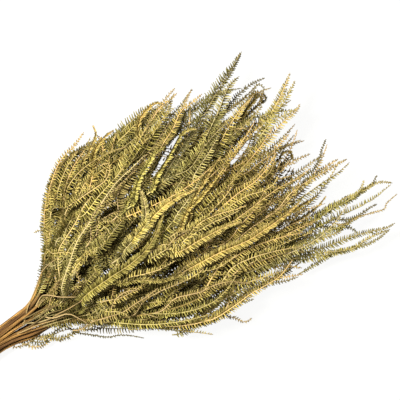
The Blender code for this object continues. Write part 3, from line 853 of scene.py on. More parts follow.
# %% Fronds of the middle
MIDDLE_FRONDS = (
    ("green", "dense", 8, 1.2, (84, 297, 94, 289, 111, 277, 132, 263, 146, 250, 155, 236,
     160, 223, 164, 213)),
    ("straw", "dense", 8, 1.2, (132, 240, 146, 225, 160, 210, 173, 200, 184, 194, 196, 190)),
    ("pale", "dense", 8, 1.25, (128, 246, 134, 240, 143, 229, 146, 216, 145, 205, 142, 194,
     138, 184)),
    ("olive", "both", 8, 1.15, (102, 246, 112, 233, 122, 221, 131, 209)),
    ("olive", "left", 8, 1.1, (108, 251, 118, 240, 128, 228, 138, 216)),
    ("tan", "both", 6, 1.15, (84, 228, 90, 220, 99, 209, 111, 197, 122, 182)),
    ("tan", "right", 4, 1.15, (92, 226, 98, 222, 114, 212, 124, 208, 133, 206)),
    ("tan", "right", 4, 1.15, (98, 211, 104, 206, 118, 201, 129, 197, 140, 196)),
    ("pale", "left", 6, 1.15, (98, 262, 109, 254, 121, 246, 132, 240, 147, 234)),
    ("olive", "both", 5, 1.1, (86, 282, 94, 273, 104, 262, 115, 250)),
    ("straw", "left", 7, 1.1, (112, 287, 127, 279, 143, 275, 157, 271, 176, 261)),
    ("straw", "shut", 6, 1.2, (124, 283, 138, 280, 156, 281, 171, 279, 185, 273)),
    ("tan", "left", 6, 1.1, (142, 263, 155, 256, 167, 250, 171, 243, 178, 236, 188, 231, 201, 224)),
    ("straw", "half", 6, 1.15, (152, 258, 166, 250, 176, 248, 188, 238, 200, 230, 214, 222,
     228, 216, 240, 210)),
    ("straw", "half", 7, 1.1, (180, 244, 200, 223, 219, 214, 234, 210, 247, 205)),
    ("straw", "dense", 7, 1.1, (178, 252, 200, 240, 221, 229, 232, 224, 243, 222)),
    ("green", "left", 8, 1.05, (178, 236, 200, 215, 217, 196, 232, 183, 240, 174, 252, 163,
     260, 159)),
    ("straw", "left", 7, 1.1, (196, 228, 208, 216, 219, 204, 227, 195, 233, 186)),
    ("gold", "both", 7, 1.0, (198, 228, 214, 214, 236, 195, 259, 178, 268, 167, 276, 153)),
    ("straw", "both", 6, 1.0, (214, 220, 228, 208, 249, 195, 263, 191, 274, 184, 278, 176)),
    ("gold", "half", 6, 1.0, (232, 222, 245, 213, 263, 199, 284, 185, 298, 178, 311, 168)),
    ("gold", "right", 6, 1.0, (212, 258, 232, 244, 249, 229, 267, 217, 281, 207, 291, 197,
     298, 182, 301, 176)),
    ("gold", "dense", 7, 1.1, (202, 262, 221, 252, 249, 240, 270, 226, 288, 213, 300, 202)),
    ("gold", "left", 6, 0.95, (216, 260, 235, 248, 263, 238, 284, 226, 298, 216, 311, 209,
     325, 204)),
    ("gold", "left", 6, 0.9, (240, 254, 256, 247, 270, 240, 291, 230, 311, 223, 322, 219)),
    ("gold", "shut", 5, 1.1, (188, 210, 200, 198, 210, 186, 220, 173, 224, 168)),
    ("gold", "shut", 4, 1.1, (192, 202, 204, 182, 211, 170, 221, 156)),
    ("gold", "both", 6, 1.0, (240, 226, 249, 216, 258, 206, 264, 192)),
    ("pale", "both", 6, 1.0, (176, 216, 188, 200, 196, 186, 204, 172)),
    ("green", "both", 8, 1.0, (164, 232, 176, 218, 188, 204, 200, 188)),
    ("olive", "both", 8, 0.95, (160, 212, 172, 196, 182, 180, 194, 164)),
)
print(len(MIDDLE_FRONDS), "fronds drawn in the middle")

# %% [markdown]
# ## The fronds of the lower side
#
# The lower edge of the bunch is nearly straight, because its fronds lie along it rather than across
# it. They could be bent into line by a rule, but their tips end one after the other in the
# photograph, and that is quicker to read off than to describe.

# %% Fronds of the lower side
LOWER_FRONDS = (
    ("green", "left", 7, 1.0, (146, 310, 160, 304, 172, 294, 184, 286, 203, 278, 222, 275,
     240, 277)),
    ("tan", "left", 4, 1.1, (146, 300, 160, 292, 188, 280, 201, 272, 208, 262, 218, 252)),
    ("straw", "left", 5, 1.1, (188, 280, 202, 272, 214, 270, 227, 263, 237, 255)),
    ("tan", "both", 4, 1.0, (176, 298, 188, 295, 201, 292, 210, 287, 227, 282, 252, 284)),
    ("olive", "both", 5, 0.9, (182, 312, 205, 305, 222, 300, 241, 290, 265, 284, 285, 281,
     298, 277)),
    ("gold", "both", 4, 0.8, (236, 282, 246, 279, 270, 278, 292, 276, 303, 274)),
    ("gold", "both", 5, 0.8, (238, 272, 256, 269, 272, 267, 288, 266, 302, 268)),
    ("olive", "both", 6, 0.8, (196, 324, 213, 319, 229, 309, 241, 303, 254, 299)),
    ("tan", "both", 3, 0.7, (196, 324, 208, 321, 227, 316, 235, 318, 246, 322, 252, 318)),
    ("green", "left", 6, 0.8, (144, 327, 160, 329, 179, 331, 198, 333, 213, 335)),
    ("lime", "left", 6, 0.9, (152, 328, 170, 329, 189, 326, 206, 323)),
    ("lime", "shut", 4, 1.0, (164, 316, 179, 312, 190, 311, 198, 317, 206, 324)),
    ("green", "both", 6, 1.0, (106, 318, 120, 313, 134, 308, 144, 304, 170, 301, 186, 300)),
    ("tan", "both", 5, 1.1, (92, 322, 105, 318, 123, 312, 135, 304, 148, 296, 158, 288)),
    ("green", "both", 6, 0.9, (112, 322, 130, 320, 151, 318, 160, 311, 172, 305)),
    ("green", "right", 6, 0.7, (98, 327, 116, 328, 137, 327, 158, 326, 172, 324)),
    ("straw", "both", 6, 1.1, (90, 308, 102, 302, 120, 298, 137, 289, 149, 281)),
    ("straw", "left", 5, 1.15, (76, 309, 84, 304, 99, 293, 116, 286, 128, 280)),
)
print(len(LOWER_FRONDS), "fronds drawn on the lower side")

# %% [markdown]
# ## The gold fronds right of the middle
#
# Right of the middle the combs have dried to gold and lie nearly side by side. A row of similar
# fronds would do, but each is drawn, because their tips form the right-hand outline.

# %% Gold fronds right of the middle
GOLD_FRONDS = (
    ("gold", "both", 6, 1.0, (226, 262, 246, 250, 266, 242, 286, 236, 304, 232)),
    ("straw", "both", 6, 1.0, (232, 268, 252, 258, 272, 252, 292, 248, 308, 246)),
    ("gold", "right", 6, 0.95, (246, 250, 262, 240, 280, 230, 296, 222, 310, 216)),
    ("gold", "both", 6, 0.95, (258, 262, 274, 256, 290, 252, 304, 252)),
    ("olive", "both", 6, 0.9, (250, 272, 268, 264, 286, 260, 300, 258)),
    ("tan", "both", 5, 1.0, (262, 236, 276, 226, 290, 218, 306, 208)),
    ("straw", "left", 6, 0.95, (270, 252, 284, 244, 298, 238, 314, 232)),
    ("gold", "both", 6, 0.9, (268, 246, 284, 236, 300, 228, 316, 222)),
    ("straw", "both", 6, 0.9, (240, 284, 256, 280, 272, 274, 288, 270)),
)
print(len(GOLD_FRONDS), "fronds drawn right of the middle")

# %% [markdown]
# ## Twigs and small fronds by the stems
#
# Where the stems run out of the picture, the real bunch shows bare twigs, old and young, and short
# pale combs between them. A twig is a frond without leaflets, so it fits in the same table.

# %% Twigs and small fronds by the stems
STEM_FRONDS = (
    ("green", "both", 6, 1.15, (78, 238, 84, 229, 93, 226, 100, 231, 103, 240)),
    ("straw", "both", 6, 1.15, (84, 254, 91, 245, 101, 242, 108, 248)),
    ("green", "both", 6, 1.15, (68, 252, 74, 242, 82, 235, 91, 237)),
    ("olive", "both", 6, 1.1, (96, 260, 101, 250, 109, 246, 116, 252)),
    ("tan", "both", 5, 1.0, (62, 234, 68, 223, 78, 219, 86, 225)),
    ("twig", "bare", 0, 1.1, (30, 312, 42, 300, 52, 290, 60, 280)),
    ("old twig", "bare", 0, 1.15, (36, 318, 52, 308, 66, 302, 82, 296)),
    ("young twig", "bare", 0, 1.1, (40, 322, 58, 316, 76, 312, 96, 312)),
    ("tan", "shut", 3, 1.1, (44, 300, 54, 290, 62, 282, 74, 276)),
    ("pale", "both", 3, 1.1, (46, 312, 60, 304, 74, 298, 90, 294)),
    ("straw", "both", 4, 1.1, (50, 296, 60, 286, 70, 278, 80, 268)),
    ("young twig", "bare", 0, 1.2, (54, 318, 70, 314, 80, 319, 89, 324)),
    ("twig", "bare", 0, 1.2, (58, 314, 70, 308, 78, 303, 96, 293)),
    ("old twig", "bare", 0, 1.15, (30, 316, 44, 309, 58, 306, 74, 302)),
    ("old twig", "bare", 0, 1.15, (36, 322, 48, 314, 62, 310, 76, 305)),
    ("old twig", "bare", 0, 1.10, (36, 306, 45, 297, 55, 288, 63, 281)),
    ("young twig", "bare", 0, 1.20, (36, 306, 41, 297, 47, 295, 60, 297, 76, 297)),
    ("twig", "bare", 0, 1.15, (28, 307, 36, 288, 42, 272, 52, 262, 60, 258)),
    ("twig", "bare", 0, 1.15, (22, 332, 38, 325, 52, 321, 66, 317, 80, 316)),
    ("twig", "bare", 0, 1.15, (60, 300, 72, 291, 84, 284, 94, 274, 104, 262)),
    ("straw", "both", 3.5, 1.15, (72, 272, 80, 262, 90, 253, 103, 243)),
    ("straw", "both", 4, 1.05, (50, 240, 48, 222, 47, 208, 48, 196, 51, 184)),
    ("pale", "both", 2.5, 1.2, (62, 286, 70, 262, 78, 240, 88, 225, 97, 211, 105, 198, 118, 181,
     132, 168, 145, 155)),
    ("straw", "both", 4, 1.15, (58, 262, 59, 250, 66, 238, 76, 222, 84, 206, 92, 196)),
    ("dark", "shut", 2, 0.3, (80, 333, 94, 335, 109, 337, 120, 335, 134, 336, 144, 338)),
    ("tan", "shut", 3, 0.5, (14, 347, 26, 344, 36, 338, 48, 338)),
    ("straw", "left", 4, 0.5, (46, 340, 56, 334, 66, 330, 78, 330)),
    ("tan", "both", 2, 0.4, (34, 347, 44, 345, 52, 339, 62, 340, 70, 333)),
    ("dark", "both", 3, 0.5, (44, 342, 52, 334, 58, 329, 66, 324)),
    ("olive", "both", 3, 0.5, (60, 338, 70, 336, 80, 329, 92, 330, 106, 326)),
)
print(len(STEM_FRONDS), "twigs and small fronds by the stems")

# %% [markdown]
# ## The fronds of the far right
#
# To the far right trail long moss-coloured sprays with fine tips. They lie low and stand apart, so
# their combs are drawn bushier than the others, and each tip is followed to its end.

# %% Fronds of the far right
FAR_FRONDS = (
    ("moss", "right", 5, 0.90, (296, 200, 310, 191, 321, 183, 338, 172, 349, 162)),
    ("tan", "both", 4, 0.90, (290, 194, 303, 184, 321, 174, 336, 165, 347, 159)),
    ("gold", "both", 4, 0.70, (288, 196, 301, 187, 313, 176, 327, 166, 338, 159)),
    ("dark", "both", 2, 0.85, (290, 184, 301, 177, 314, 169, 319, 159, 322, 149, 326, 139)),
    ("gold", "shut", 6, 0.80, (290, 212, 304, 204, 317, 196)),
    ("gold", "shut", 4, 0.80, (296, 222, 308, 214, 320, 204, 326, 196)),
    ("moss", "left", 7, 0.85, (286, 240, 300, 232, 319, 219, 335, 207, 351, 200, 361, 193,
     370, 186, 377, 181)),
    ("moss", "both", 4, 0.85, (334, 208, 350, 199, 361, 189, 364, 180)),
    ("dark", "both", 2, 0.85, (352, 200, 364, 190, 372, 184, 377, 175)),
    ("moss", "both", 2, 0.85, (362, 192, 376, 183, 382, 182, 392, 183)),
    ("moss", "left", 6, 0.80, (288, 244, 300, 237, 325, 224, 340, 216, 354, 210, 367, 203,
     377, 197, 385, 190, 391, 185)),
    ("moss", "both", 5, 0.75, (292, 246, 306, 239, 329, 230, 345, 225, 354, 219, 364, 215)),
    ("tan", "shut", 2, 0.75, (345, 224, 354, 219, 364, 215, 375, 212, 385, 208, 386, 204,
     391, 199, 397, 194)),
    ("dark", "both", 2, 0.65, (350, 219, 361, 214, 369, 208, 377, 204)),
    ("moss", "both", 6, 0.75, (286, 250, 300, 245, 322, 238, 338, 232, 345, 226)),
    ("olive", "both", 5, 0.75, (286, 256, 300, 253, 319, 249, 338, 242, 351, 237, 364, 233,
     377, 230, 388, 227, 395, 223)),
    ("moss", "both", 4, 0.65, (298, 260, 313, 258, 338, 252, 354, 248, 361, 243, 372, 236,
     388, 230)),
    ("olive", "both", 2.5, 0.65, (340, 251, 353, 248, 366, 245, 379, 238, 390, 229)),
    ("dark", "both", 3, 0.65, (338, 229, 348, 227, 358, 233)),
    ("moss", "both", 5, 0.75, (282, 262, 296, 258, 312, 254, 328, 252, 342, 251)),
)
print(len(FAR_FRONDS), "fronds drawn on the far right")

# %% [markdown]
# ## Short curly fronds
#
# Near the stems the real bunch is a tangle of short combs that curl every way. None of them can be
# followed by eye for long, so they are drawn at random: a start, a direction and a steady bend give
# a row like those above.

# %% Short curly fronds near the stems
TANGLE = 46
TANGLE_FIELD = ((50, 118), (226, 318))  # across and down the picture
TANGLE_STEP, TANGLE_BEND = 8.0, 0.55
TANGLE_TURN, TANGLE_SPREAD = 45, 40  # the usual direction in degrees, and its spread
TANGLE_REACH, TANGLE_LEVEL = (2.8, 5.0), (1.04, 1.18)
TANGLE_LEAVES = ("straw", "green", "pale", "pale", "tan")
tangle_draws = np.random.default_rng(SEED + 5)


def curly_row(rng):
    """A row like those above, for a short frond that curls in a direction of its own."""
    x, y = rng.uniform(*TANGLE_FIELD[0]), rng.uniform(*TANGLE_FIELD[1])
    turn = math.radians(rng.normal(TANGLE_TURN, TANGLE_SPREAD))
    bend = rng.uniform(-TANGLE_BEND, TANGLE_BEND)
    spots = [x, y]
    for _ in range(rng.integers(3, 5)):
        x, y = x + TANGLE_STEP * math.cos(turn), y - TANGLE_STEP * math.sin(turn)
        turn += bend
        spots += [x, y]
    leaf = TANGLE_LEAVES[rng.integers(len(TANGLE_LEAVES))]
    return leaf, "both", rng.uniform(*TANGLE_REACH), rng.uniform(*TANGLE_LEVEL), spots


TANGLED_FRONDS = tuple(curly_row(tangle_draws) for _ in range(TANGLE))
print(len(TANGLED_FRONDS), "curly fronds")

# %% [markdown]
# ## Placing the drawn fronds
#
# On the plant every comb belongs to a stem. So each drawn frond joins the fronds of the stem that
# its foot was led to, and is built and moved with it. A list of its own would be simpler, but those
# fronds would hang loose once a stem is moved.

# %% Place the drawn fronds
drawn_leaf = {}
near_fronds = SHOULDER_FRONDS + UPPER_FRONDS + MIDDLE_FRONDS + LOWER_FRONDS + GOLD_FRONDS
near_fronds += STEM_FRONDS + TANGLED_FRONDS
for table, habit in ((near_fronds, CRISP), (FAR_FRONDS, BUSHY)):
    for leaf, *rest in table:
        drawn = DrawnFrond(habit, *rest)
        fronds[drawn.stem.number].append(drawn)
        drawn_leaf[id(drawn)] = leaf
print(len(drawn_leaf), "drawn fronds")

# %% [markdown]
# ## Filling the bunch
#
# The real bunch is far denser than the fronds drawn so far, and dark between them. So more fronds are
# added below its upper side, where a view from above still shows gaps. A grid of small squares
# counts how many fronds pass over each; of several candidates, the one that covers the barest
# squares is kept. Many spring from the foot of another frond, which gives forked twigs. The bare
# slits that the photograph shows are left open.

# %% Sizes of the filling
FILLING = 290
FILL_TRIES = 14
FILL_LENGTH = (0.080, 0.150)
FILL_FROM = 0.078  # distance from the tie where the first leaves grow
FILL_TIP_MARGIN, FILL_PAST_TIP = 0.055, 0.010
FORKED_SHARE, FORK_SPREAD = 0.45, 0.014
FILL_LEVEL = 0.86  # of the height of the bunch
INSIDE_SHARE, BELOW_SHARE = 0.93, 0.7  # how much of a frond has to keep inside, and below that level
SLIT_SHARE = 0.06  # how much of it may pass over a slit
SQUARE = 0.004
GRID_CORNER = np.array([0.15, 0.24])  # how far the grid of squares reaches behind and beside the tie
GRID_SHAPE = (200, 120)
WANTED_COVER = 7
COVER_FROM, COVER_ACROSS = 3, (-0.7, 0, 0.7)  # the samples of a frond that count as cover
BOX_MARGIN = 0.004
INSIDE = (  # the outline of the dense part, round which the filling stops
    0, 330, 28, 303, 46, 270, 45, 240, 46, 205, 52, 176, 60, 156, 76, 140, 92, 132, 108, 132,
    120, 134, 130, 120, 142, 110, 156, 104, 170, 100, 184, 106, 194, 118, 204, 116, 216, 112,
    230, 118, 250, 124, 262, 126, 268, 130, 268, 136, 266, 144, 280, 154, 292, 164, 300, 180,
    296, 195, 306, 206, 316, 215, 322, 225, 314, 236, 318, 246, 303, 256, 298, 268, 290, 278,
    270, 286, 248, 294, 236, 306, 222, 318, 204, 326, 180, 329, 150, 327, 120, 326, 100, 322,
    80, 320, 60, 322, 36, 332, 0, 345,
)
SLITS = (
    (151, 180, 157, 170, 163, 160, 169, 150, 176, 139, 181, 131),
    (230, 167, 238, 156, 244, 148, 251, 138),
)
SLIT_HEIGHT = 0.05
print("up to", FILLING, "filling fronds")

# %% Count the fronds over each square
def squares_under(points):
    """The squares of the grid below these points, as pairs of numbers."""
    squares = np.floor((points[:, :2] + GRID_CORNER) / SQUARE).astype(int)
    return np.clip(squares, 0, np.array(GRID_SHAPE) - 1)


class Cover:
    """Counts, square by square, the fronds that pass over the floor."""

    def __init__(self):
        self.counts = np.zeros(GRID_SHAPE)
        self.closed = np.zeros(GRID_SHAPE, bool)

    def squares(self, frond):
        """The squares that a frond passes over, each once, as rows and columns."""
        line = frond.centreline(t_samples)[COVER_FROM:]
        widths = frond.half_width(t_samples)[COVER_FROM:, None]
        left = frond.directions(t_samples)[2][COVER_FROM:]
        spots = np.concatenate([line + left * widths * share for share in COVER_ACROSS])
        return tuple(np.unique(squares_under(spots), axis=0).T)

    def add(self, frond):
        """Counts one more frond."""
        self.counts[self.squares(frond)] += 1

    def bareness(self, frond):
        """How bare the squares are that a frond would cover, and 0 over a slit."""
        squares = self.squares(frond)
        if self.closed[squares].mean() > SLIT_SHARE:
            return 0
        return (np.maximum(0, WANTED_COVER - self.counts[squares]) ** 2).mean()


print("grid of", GRID_SHAPE[0], "by", GRID_SHAPE[1], "squares")

# %% Add the filling fronds
def kept_in(frond, low, high):
    """True for a frond that stays inside the box and below the upper side of the bunch."""
    line = frond.centreline(t_samples)
    inside = (line > low).all() and (line < high).all()
    inside = inside and in_outline(line[:, 0], line[:, 1], fill_outline).mean() > INSIDE_SHARE
    return inside and (line[:, 2] < dome_height(line) * FILL_LEVEL).mean() > BELOW_SHARE


def fill_bunch(cover, rng):
    """Adds fronds where the bunch is barest."""
    weights = np.array([stem.tip - FILL_FROM for stem in stems])
    low = np.array(cad_box[0]) - UNDER_TIE + [BOX_MARGIN, BOX_MARGIN, -1]
    high = np.array(cad_box[1]) - UNDER_TIE - BOX_MARGIN
    added = 0
    for _ in range(FILLING):
        best, best_bareness = None, 0
        for _ in range(FILL_TRIES):
            stem = stems[rng.choice(len(stems), p=weights / weights.sum())]
            if rng.random() < FORKED_SHARE:
                sister = fronds[stem.number][rng.integers(len(fronds[stem.number]))]
                root = sister.root + rng.uniform(-FORK_SPREAD, FORK_SPREAD)
            else:
                root = rng.uniform(FILL_FROM, stem.tip - FILL_TIP_MARGIN)
            root = max(root, FILL_FROM)
            length = min(rng.uniform(*FILL_LENGTH), stem.tip + FILL_PAST_TIP - root)
            frond = Frond(stem, root, length, rng, 1.0, LOOSE)
            if length < FILL_TIP_MARGIN or not kept_in(frond, low, high):
                continue
            bareness = cover.bareness(frond)
            if bareness > best_bareness:
                best, best_bareness = frond, bareness
        if best:
            fronds[best.stem.number].append(best)
            cover.add(best)
            added += 1
    return added


fill_outline = outline_from(INSIDE)
cover = Cover()
for rows in fronds.values():
    for frond in rows:
        cover.add(frond)
slit_lines = []
for slit in SLITS:
    spots = np.array(slit, float).reshape(-1, 2)
    heights = np.full(len(spots), SLIT_HEIGHT)
    line, _ = smooth_line(from_picture(spots[:, 0], spots[:, 1], heights))
    slit_lines.append(line[:, :2])
    cover.closed[tuple(squares_under(line).T)] = True
fill_draws = np.random.default_rng(SEED + 1)
print(fill_bunch(cover, fill_draws), "filling fronds")

# %% [markdown]
# ## Parting the leaves at the slits
#
# Two narrow slits in the photographed bunch stay open and show white. Fronds that lie close to them
# would close them, and leaving those out would make holes instead. So their points are pushed to
# the side that most of the frond is on, as leaves part round a finger.

# %% Part the leaves along the open slits
SLIT_HALF_WIDTHS, SLIT_REACH = (0.0052, 0.0029), 0.012
MARK_EVERY = 3  # every third point of a slit's line is a mark
OPEN_FROM = 0.3  # where a slit is narrower than this share, towards its ends, nothing is moved
HELD_FROM = 0.6  # of the reach: feet further across the slit than this are moved less and less
SECOND_PUSH, SECOND_FROM = 0.8, 0.9  # for points that the first push leaves in the slit


def parted(points, feet):
    """Points pushed clear of the open slits, all to the side that most of the frond is on."""
    for axis, widest in zip(slit_lines, SLIT_HALF_WIDTHS):
        ahead = axis[-1] - axis[0]
        beside = np.array([-ahead[1], ahead[0]]) / np.linalg.norm(ahead)
        marks = axis[::MARK_EVERY]
        nearest = np.linalg.norm(feet[:, None, :2] - marks[None], axis=2).argmin(axis=1)
        opened = np.sin(math.pi * nearest / (len(marks) - 1)) ** 0.5
        foot_gap = ((feet[:, :2] - marks[nearest]) * beside).sum(axis=1)
        near = (np.abs(foot_gap) < SLIT_REACH) & (opened > OPEN_FROM)
        if near.any():
            side = -1 if foot_gap[near].sum() < 0 else 1
            held_back = ease(side * foot_gap, -SLIT_REACH, -HELD_FROM * SLIT_REACH)
            push = opened * np.maximum(0, widest - side * foot_gap) * held_back
            points = points.copy()
            points[:, :2] += (side * push)[:, None] * beside
            gap = side * ((points[:, :2] - marks[nearest]) * beside).sum(axis=1)
            over = np.maximum(0, SECOND_PUSH * widest * opened - gap)
            over = over * (held_back > SECOND_FROM) * (opened > OPEN_FROM)
            points[:, :2] += (side * over)[:, None] * beside
    return points


print(len(slit_lines), "slits kept open")

# %% [markdown]
# ## Gathering the lower edge
#
# The lower side of the real bunch ends in a clean edge. The outlines above keep whole fronds
# inside, but their leaflets still stand out. Cutting them off would look clipped, so every leaflet
# beyond the edge is drawn in with its foot. The fronds that are drawn one by one stay as they are.

# %% Gather the lower edge
LOWER_EDGE = (
    40, 334, 62, 327, 84, 324, 108, 326, 150, 329, 180, 331, 200, 328, 214, 326, 226, 318,
    240, 308, 254, 297, 272, 287, 290, 278, 304, 268, 318, 258,
)
EDGE_MARGIN, GATHER, GATHERED = 0.008, 0.85, (0.06, 0.11)
EDGE_FREE = (0.44, -0.3)  # from here on the fronds trail freely
lower_edge = outline_from(LOWER_EDGE)
lower_edge = lower_edge[lower_edge[:, 0].argsort()].T
lower_edge = [np.append(values, free) for values, free in zip(lower_edge, EDGE_FREE)]


def gathered(points, feet):
    """Points drawn in to the lower edge of the bunch, each as far as its foot has to go."""
    x, y = feet[:, 0], feet[:, 1]
    beyond = np.maximum(0, np.interp(x, *lower_edge) + EDGE_MARGIN - y) * ease(x, *GATHERED)
    points = points.copy()
    points[:, 1] += GATHER * beyond
    return points


print("lower edge from", lower_edge[0][0].round(3), "to", lower_edge[0][-2].round(3))

# %% [markdown]
# ## Pressing the leaves under the fronds on top
#
# A comb that lies on a dry bunch presses the leaves below it down a little and shows whole. Fronds
# placed at random would poke through it. A simulation of the contact would be slow, so a fine grid
# holds the height of the lowest frond on top of each square, and lower leaves stay below that.

# %% Press the leaves under the fronds on top
PRESS_SQUARE, PRESS_REACH = 0.002, 10  # the squares' size, and how many of them a frond presses
PRESS_SHAPE = (400, 240)
PRESS_GAP, PRESS_FREE, PRESSED = 0.0050, 0.004, (0.10, 0.15)
NO_CEILING, LOWEST_CEILING = 0.2, 0.004

ceilings = np.full((2, *PRESS_SHAPE), NO_CEILING)  # for the fronds of tier 0, and for those of tier 1
window = np.arange(-PRESS_REACH, PRESS_REACH + 1) * PRESS_SQUARE
slope = np.maximum(0, np.hypot(window[:, None], window[None]) - PRESS_FREE) - PRESS_GAP
for rows in fronds.values():
    for frond in (frond for frond in rows if frond.tier):
        corners = np.floor((frond.path[:, :2] + GRID_CORNER) / PRESS_SQUARE).astype(int) - PRESS_REACH
        for (i, j), height in zip(corners, frond.path[:, 2]):
            for ceiling in ceilings[:frond.tier]:
                patch = ceiling[i:i + len(window), j:j + len(window)]
                np.minimum(patch, slope + height, out=patch)


def pressed(points, feet, tier):
    """Points lowered under the fronds on top, each as far as its foot has to go."""
    if tier == 2:
        return points
    ceiling = ceilings[tier]
    place = (feet[:, :2] + GRID_CORNER) / PRESS_SQUARE - 0.5
    i, j = np.clip(np.floor(place).astype(int), 0, np.array(PRESS_SHAPE) - 2).T
    u, v = np.clip(place - np.stack([i, j], axis=1), 0, 1).T
    limit = (ceiling[i, j] * (1 - u) + ceiling[i + 1, j] * u) * (1 - v)
    limit += (ceiling[i, j + 1] * (1 - u) + ceiling[i + 1, j + 1] * u) * v
    too_high = np.maximum(0, feet[:, 2] - np.maximum(limit, LOWEST_CEILING))
    points = points.copy()
    points[:, 2] -= too_high * ease(feet[:, 0], *PRESSED)
    return points


print(int((ceilings[0] < NO_CEILING).sum()), "squares lie under a frond on top")

# %% [markdown]
# ## How deep a leaf lies
#
# Leaves at the outside of the real bunch are bright and those inside it lie in shade, which gives
# its depth. Shadows alone don't do that here, because the floor's glow fills them, so that shade is
# painted into the colour of the inner leaves. For that the upper and the lower side are measured on
# the grid, and each leaf can be compared with them.

# %% Measure the upper and lower side of the bunch
upper_side, lower_side = np.zeros(GRID_SHAPE), np.full(GRID_SHAPE, NO_CEILING)
for rows in fronds.values():
    for frond in rows:
        line = frond.centreline(np.linspace(0, 1, 2 * SAMPLES))
        line = pressed(line, line, frond.tier)
        squares = tuple(squares_under(line).T)
        np.maximum.at(upper_side, squares, line[:, 2])
        np.minimum.at(lower_side, squares, line[:, 2])


def spread_out(heights, choose):
    """Each square takes the highest or lowest height of itself and its neighbours."""
    shifts = [np.roll(heights, (a, b), axis=(0, 1)) for a in (-1, 0, 1) for b in (-1, 0, 1)]
    return choose(shifts, axis=0)


upper_side, lower_side = spread_out(upper_side, np.max), spread_out(lower_side, np.min)
print("upper side up to", upper_side.max().round(3), "m")

# %% [markdown]
# ## Collecting points and faces
#
# Thousands of leaflets would be slow to make one by one as objects. Each leafy stem is collected in
# plain arrays instead, with a few numbers stored on every point: how far the leaf has turned from
# green to gold, how grey it is, how light with its painted shade, how far out on its leaflet the
# point lies, whether it is on the ridge, and one number drawn by chance. The materials read those
# numbers later.

# %% A store for points and faces
class Growth:
    """Points, faces and stored numbers of one piece, until they become a mesh."""

    stored_names = ("turned", "greyed", "light", "outward", "chance", "ridge")

    def __init__(self):
        self.points, self.faces, self.slots = [], [], []
        self.numbers = {name: [] for name in self.stored_names}
        self.grain = []
        self.count = 0

    def add(self, points, faces, slot, grain=None, feet=None, tier=0, drawn=False, **numbers):
        """Adds points, with faces given as rows of their numbers, and the stored numbers."""
        points = np.asarray(points, float).reshape(-1, 3)
        feet = points if feet is None else feet
        points = pressed(points, feet, tier)
        if not drawn:
            points = gathered(points, feet)
        points = parted(points, feet)
        self.points.append(points)
        for rows in faces:
            self.faces += (np.asarray(rows) + self.count).tolist()
            self.slots += [slot] * len(rows)
        for name in self.stored_names:
            value = numbers.get(name, 0.0)
            self.numbers[name].append(np.broadcast_to(value, len(points)).astype(np.float32))
        self.grain.append(points * 0 if grain is None else np.asarray(grain).reshape(-1, 3))
        self.count += len(points)

    def piece(self, name, finishes):
        """Makes the mesh object, in the plain model's frame."""
        mesh = bpy.data.meshes.new(name)
        mesh.from_pydata((np.concatenate(self.points) + UNDER_TIE).tolist(), [], self.faces)
        for finish in finishes:
            mesh.materials.append(finish)
        mesh.polygons.foreach_set("material_index", self.slots)
        for label, rows in self.numbers.items():
            layer = mesh.attributes.new(label, "FLOAT", "POINT")
            layer.data.foreach_set("value", np.concatenate(rows))
        layer = mesh.attributes.new("grain", "FLOAT_VECTOR", "POINT")
        layer.data.foreach_set("vector", np.concatenate(self.grain).astype(np.float32).ravel())
        mesh.polygons.foreach_set("use_smooth", [slot != LEAF for slot in self.slots])
        mesh.update()
        made = bpy.data.objects.new(name, mesh)
        bpy.context.scene.collection.objects.link(made)
        return made


print("store ready")

# %% [markdown]
# ## A tube along a line
#
# Stems, ribs and twine are all round things that follow a line, so one function draws a ring of
# points at every station and joins the rings with faces. Each point also stores its place along and
# round the tube. Bark and twine use that place, so that their fibres run along them whichever way
# they bend.

# %% Draw a tube
def rings_along(line, left, up, radii, sides):
    """Points of the rings round a line, one row for each station."""
    angle = np.arange(sides) * 2 * math.pi / sides
    spokes = left[:, None] * np.cos(angle)[None, :, None] + up[:, None] * np.sin(angle)[None, :, None]
    return line[:, None] + spokes * np.asarray(radii)[:, None, None]


def tube_faces(stations, sides):
    """The side faces of a tube, and its two end faces."""
    ring = np.arange(sides)
    after = (ring + 1) % sides
    start = np.arange(stations - 1)[:, None] * sides
    end = start + sides
    walls = np.stack([start + ring, start + after, end + after, end + ring], axis=-1)
    ends = [ring[::-1][None], ring[None] + (stations - 1) * sides]
    return walls.reshape(-1, 4), ends


def tube_grain(line, sides, offset):
    """How far along, and where round, each point of a tube lies."""
    angle = np.arange(sides) * 2 * math.pi / sides
    place = np.empty((len(line), sides, 3))
    place[..., 0] = (distances(line) + offset)[:, None]
    place[..., 1] = np.cos(angle)
    place[..., 2] = np.sin(angle)
    return place


def level_directions(line):
    """Directions left of and above a line, with no twist."""
    ahead = unit(np.gradient(line, axis=0))
    left = unit(np.cross([0, 0, 1], ahead))
    return left, np.cross(ahead, left)


print("tube ready")

# %% [markdown]
# ## Leaflets
#
# A leaflet is a stiff narrow blade that stands off the rib like the tooth of a comb. Its edges roll
# under as it dries, which leaves a blunt rod with a ridge along its top. A three-sided solid gives
# that form with few faces: a foot sunk in the rib, a waist that arches a little, and a blunt end.
# Both rows of a frond are worked out with arrays, and each leaflet gets a small draw of its own,
# because no two leaflets of a dry leaf agree.

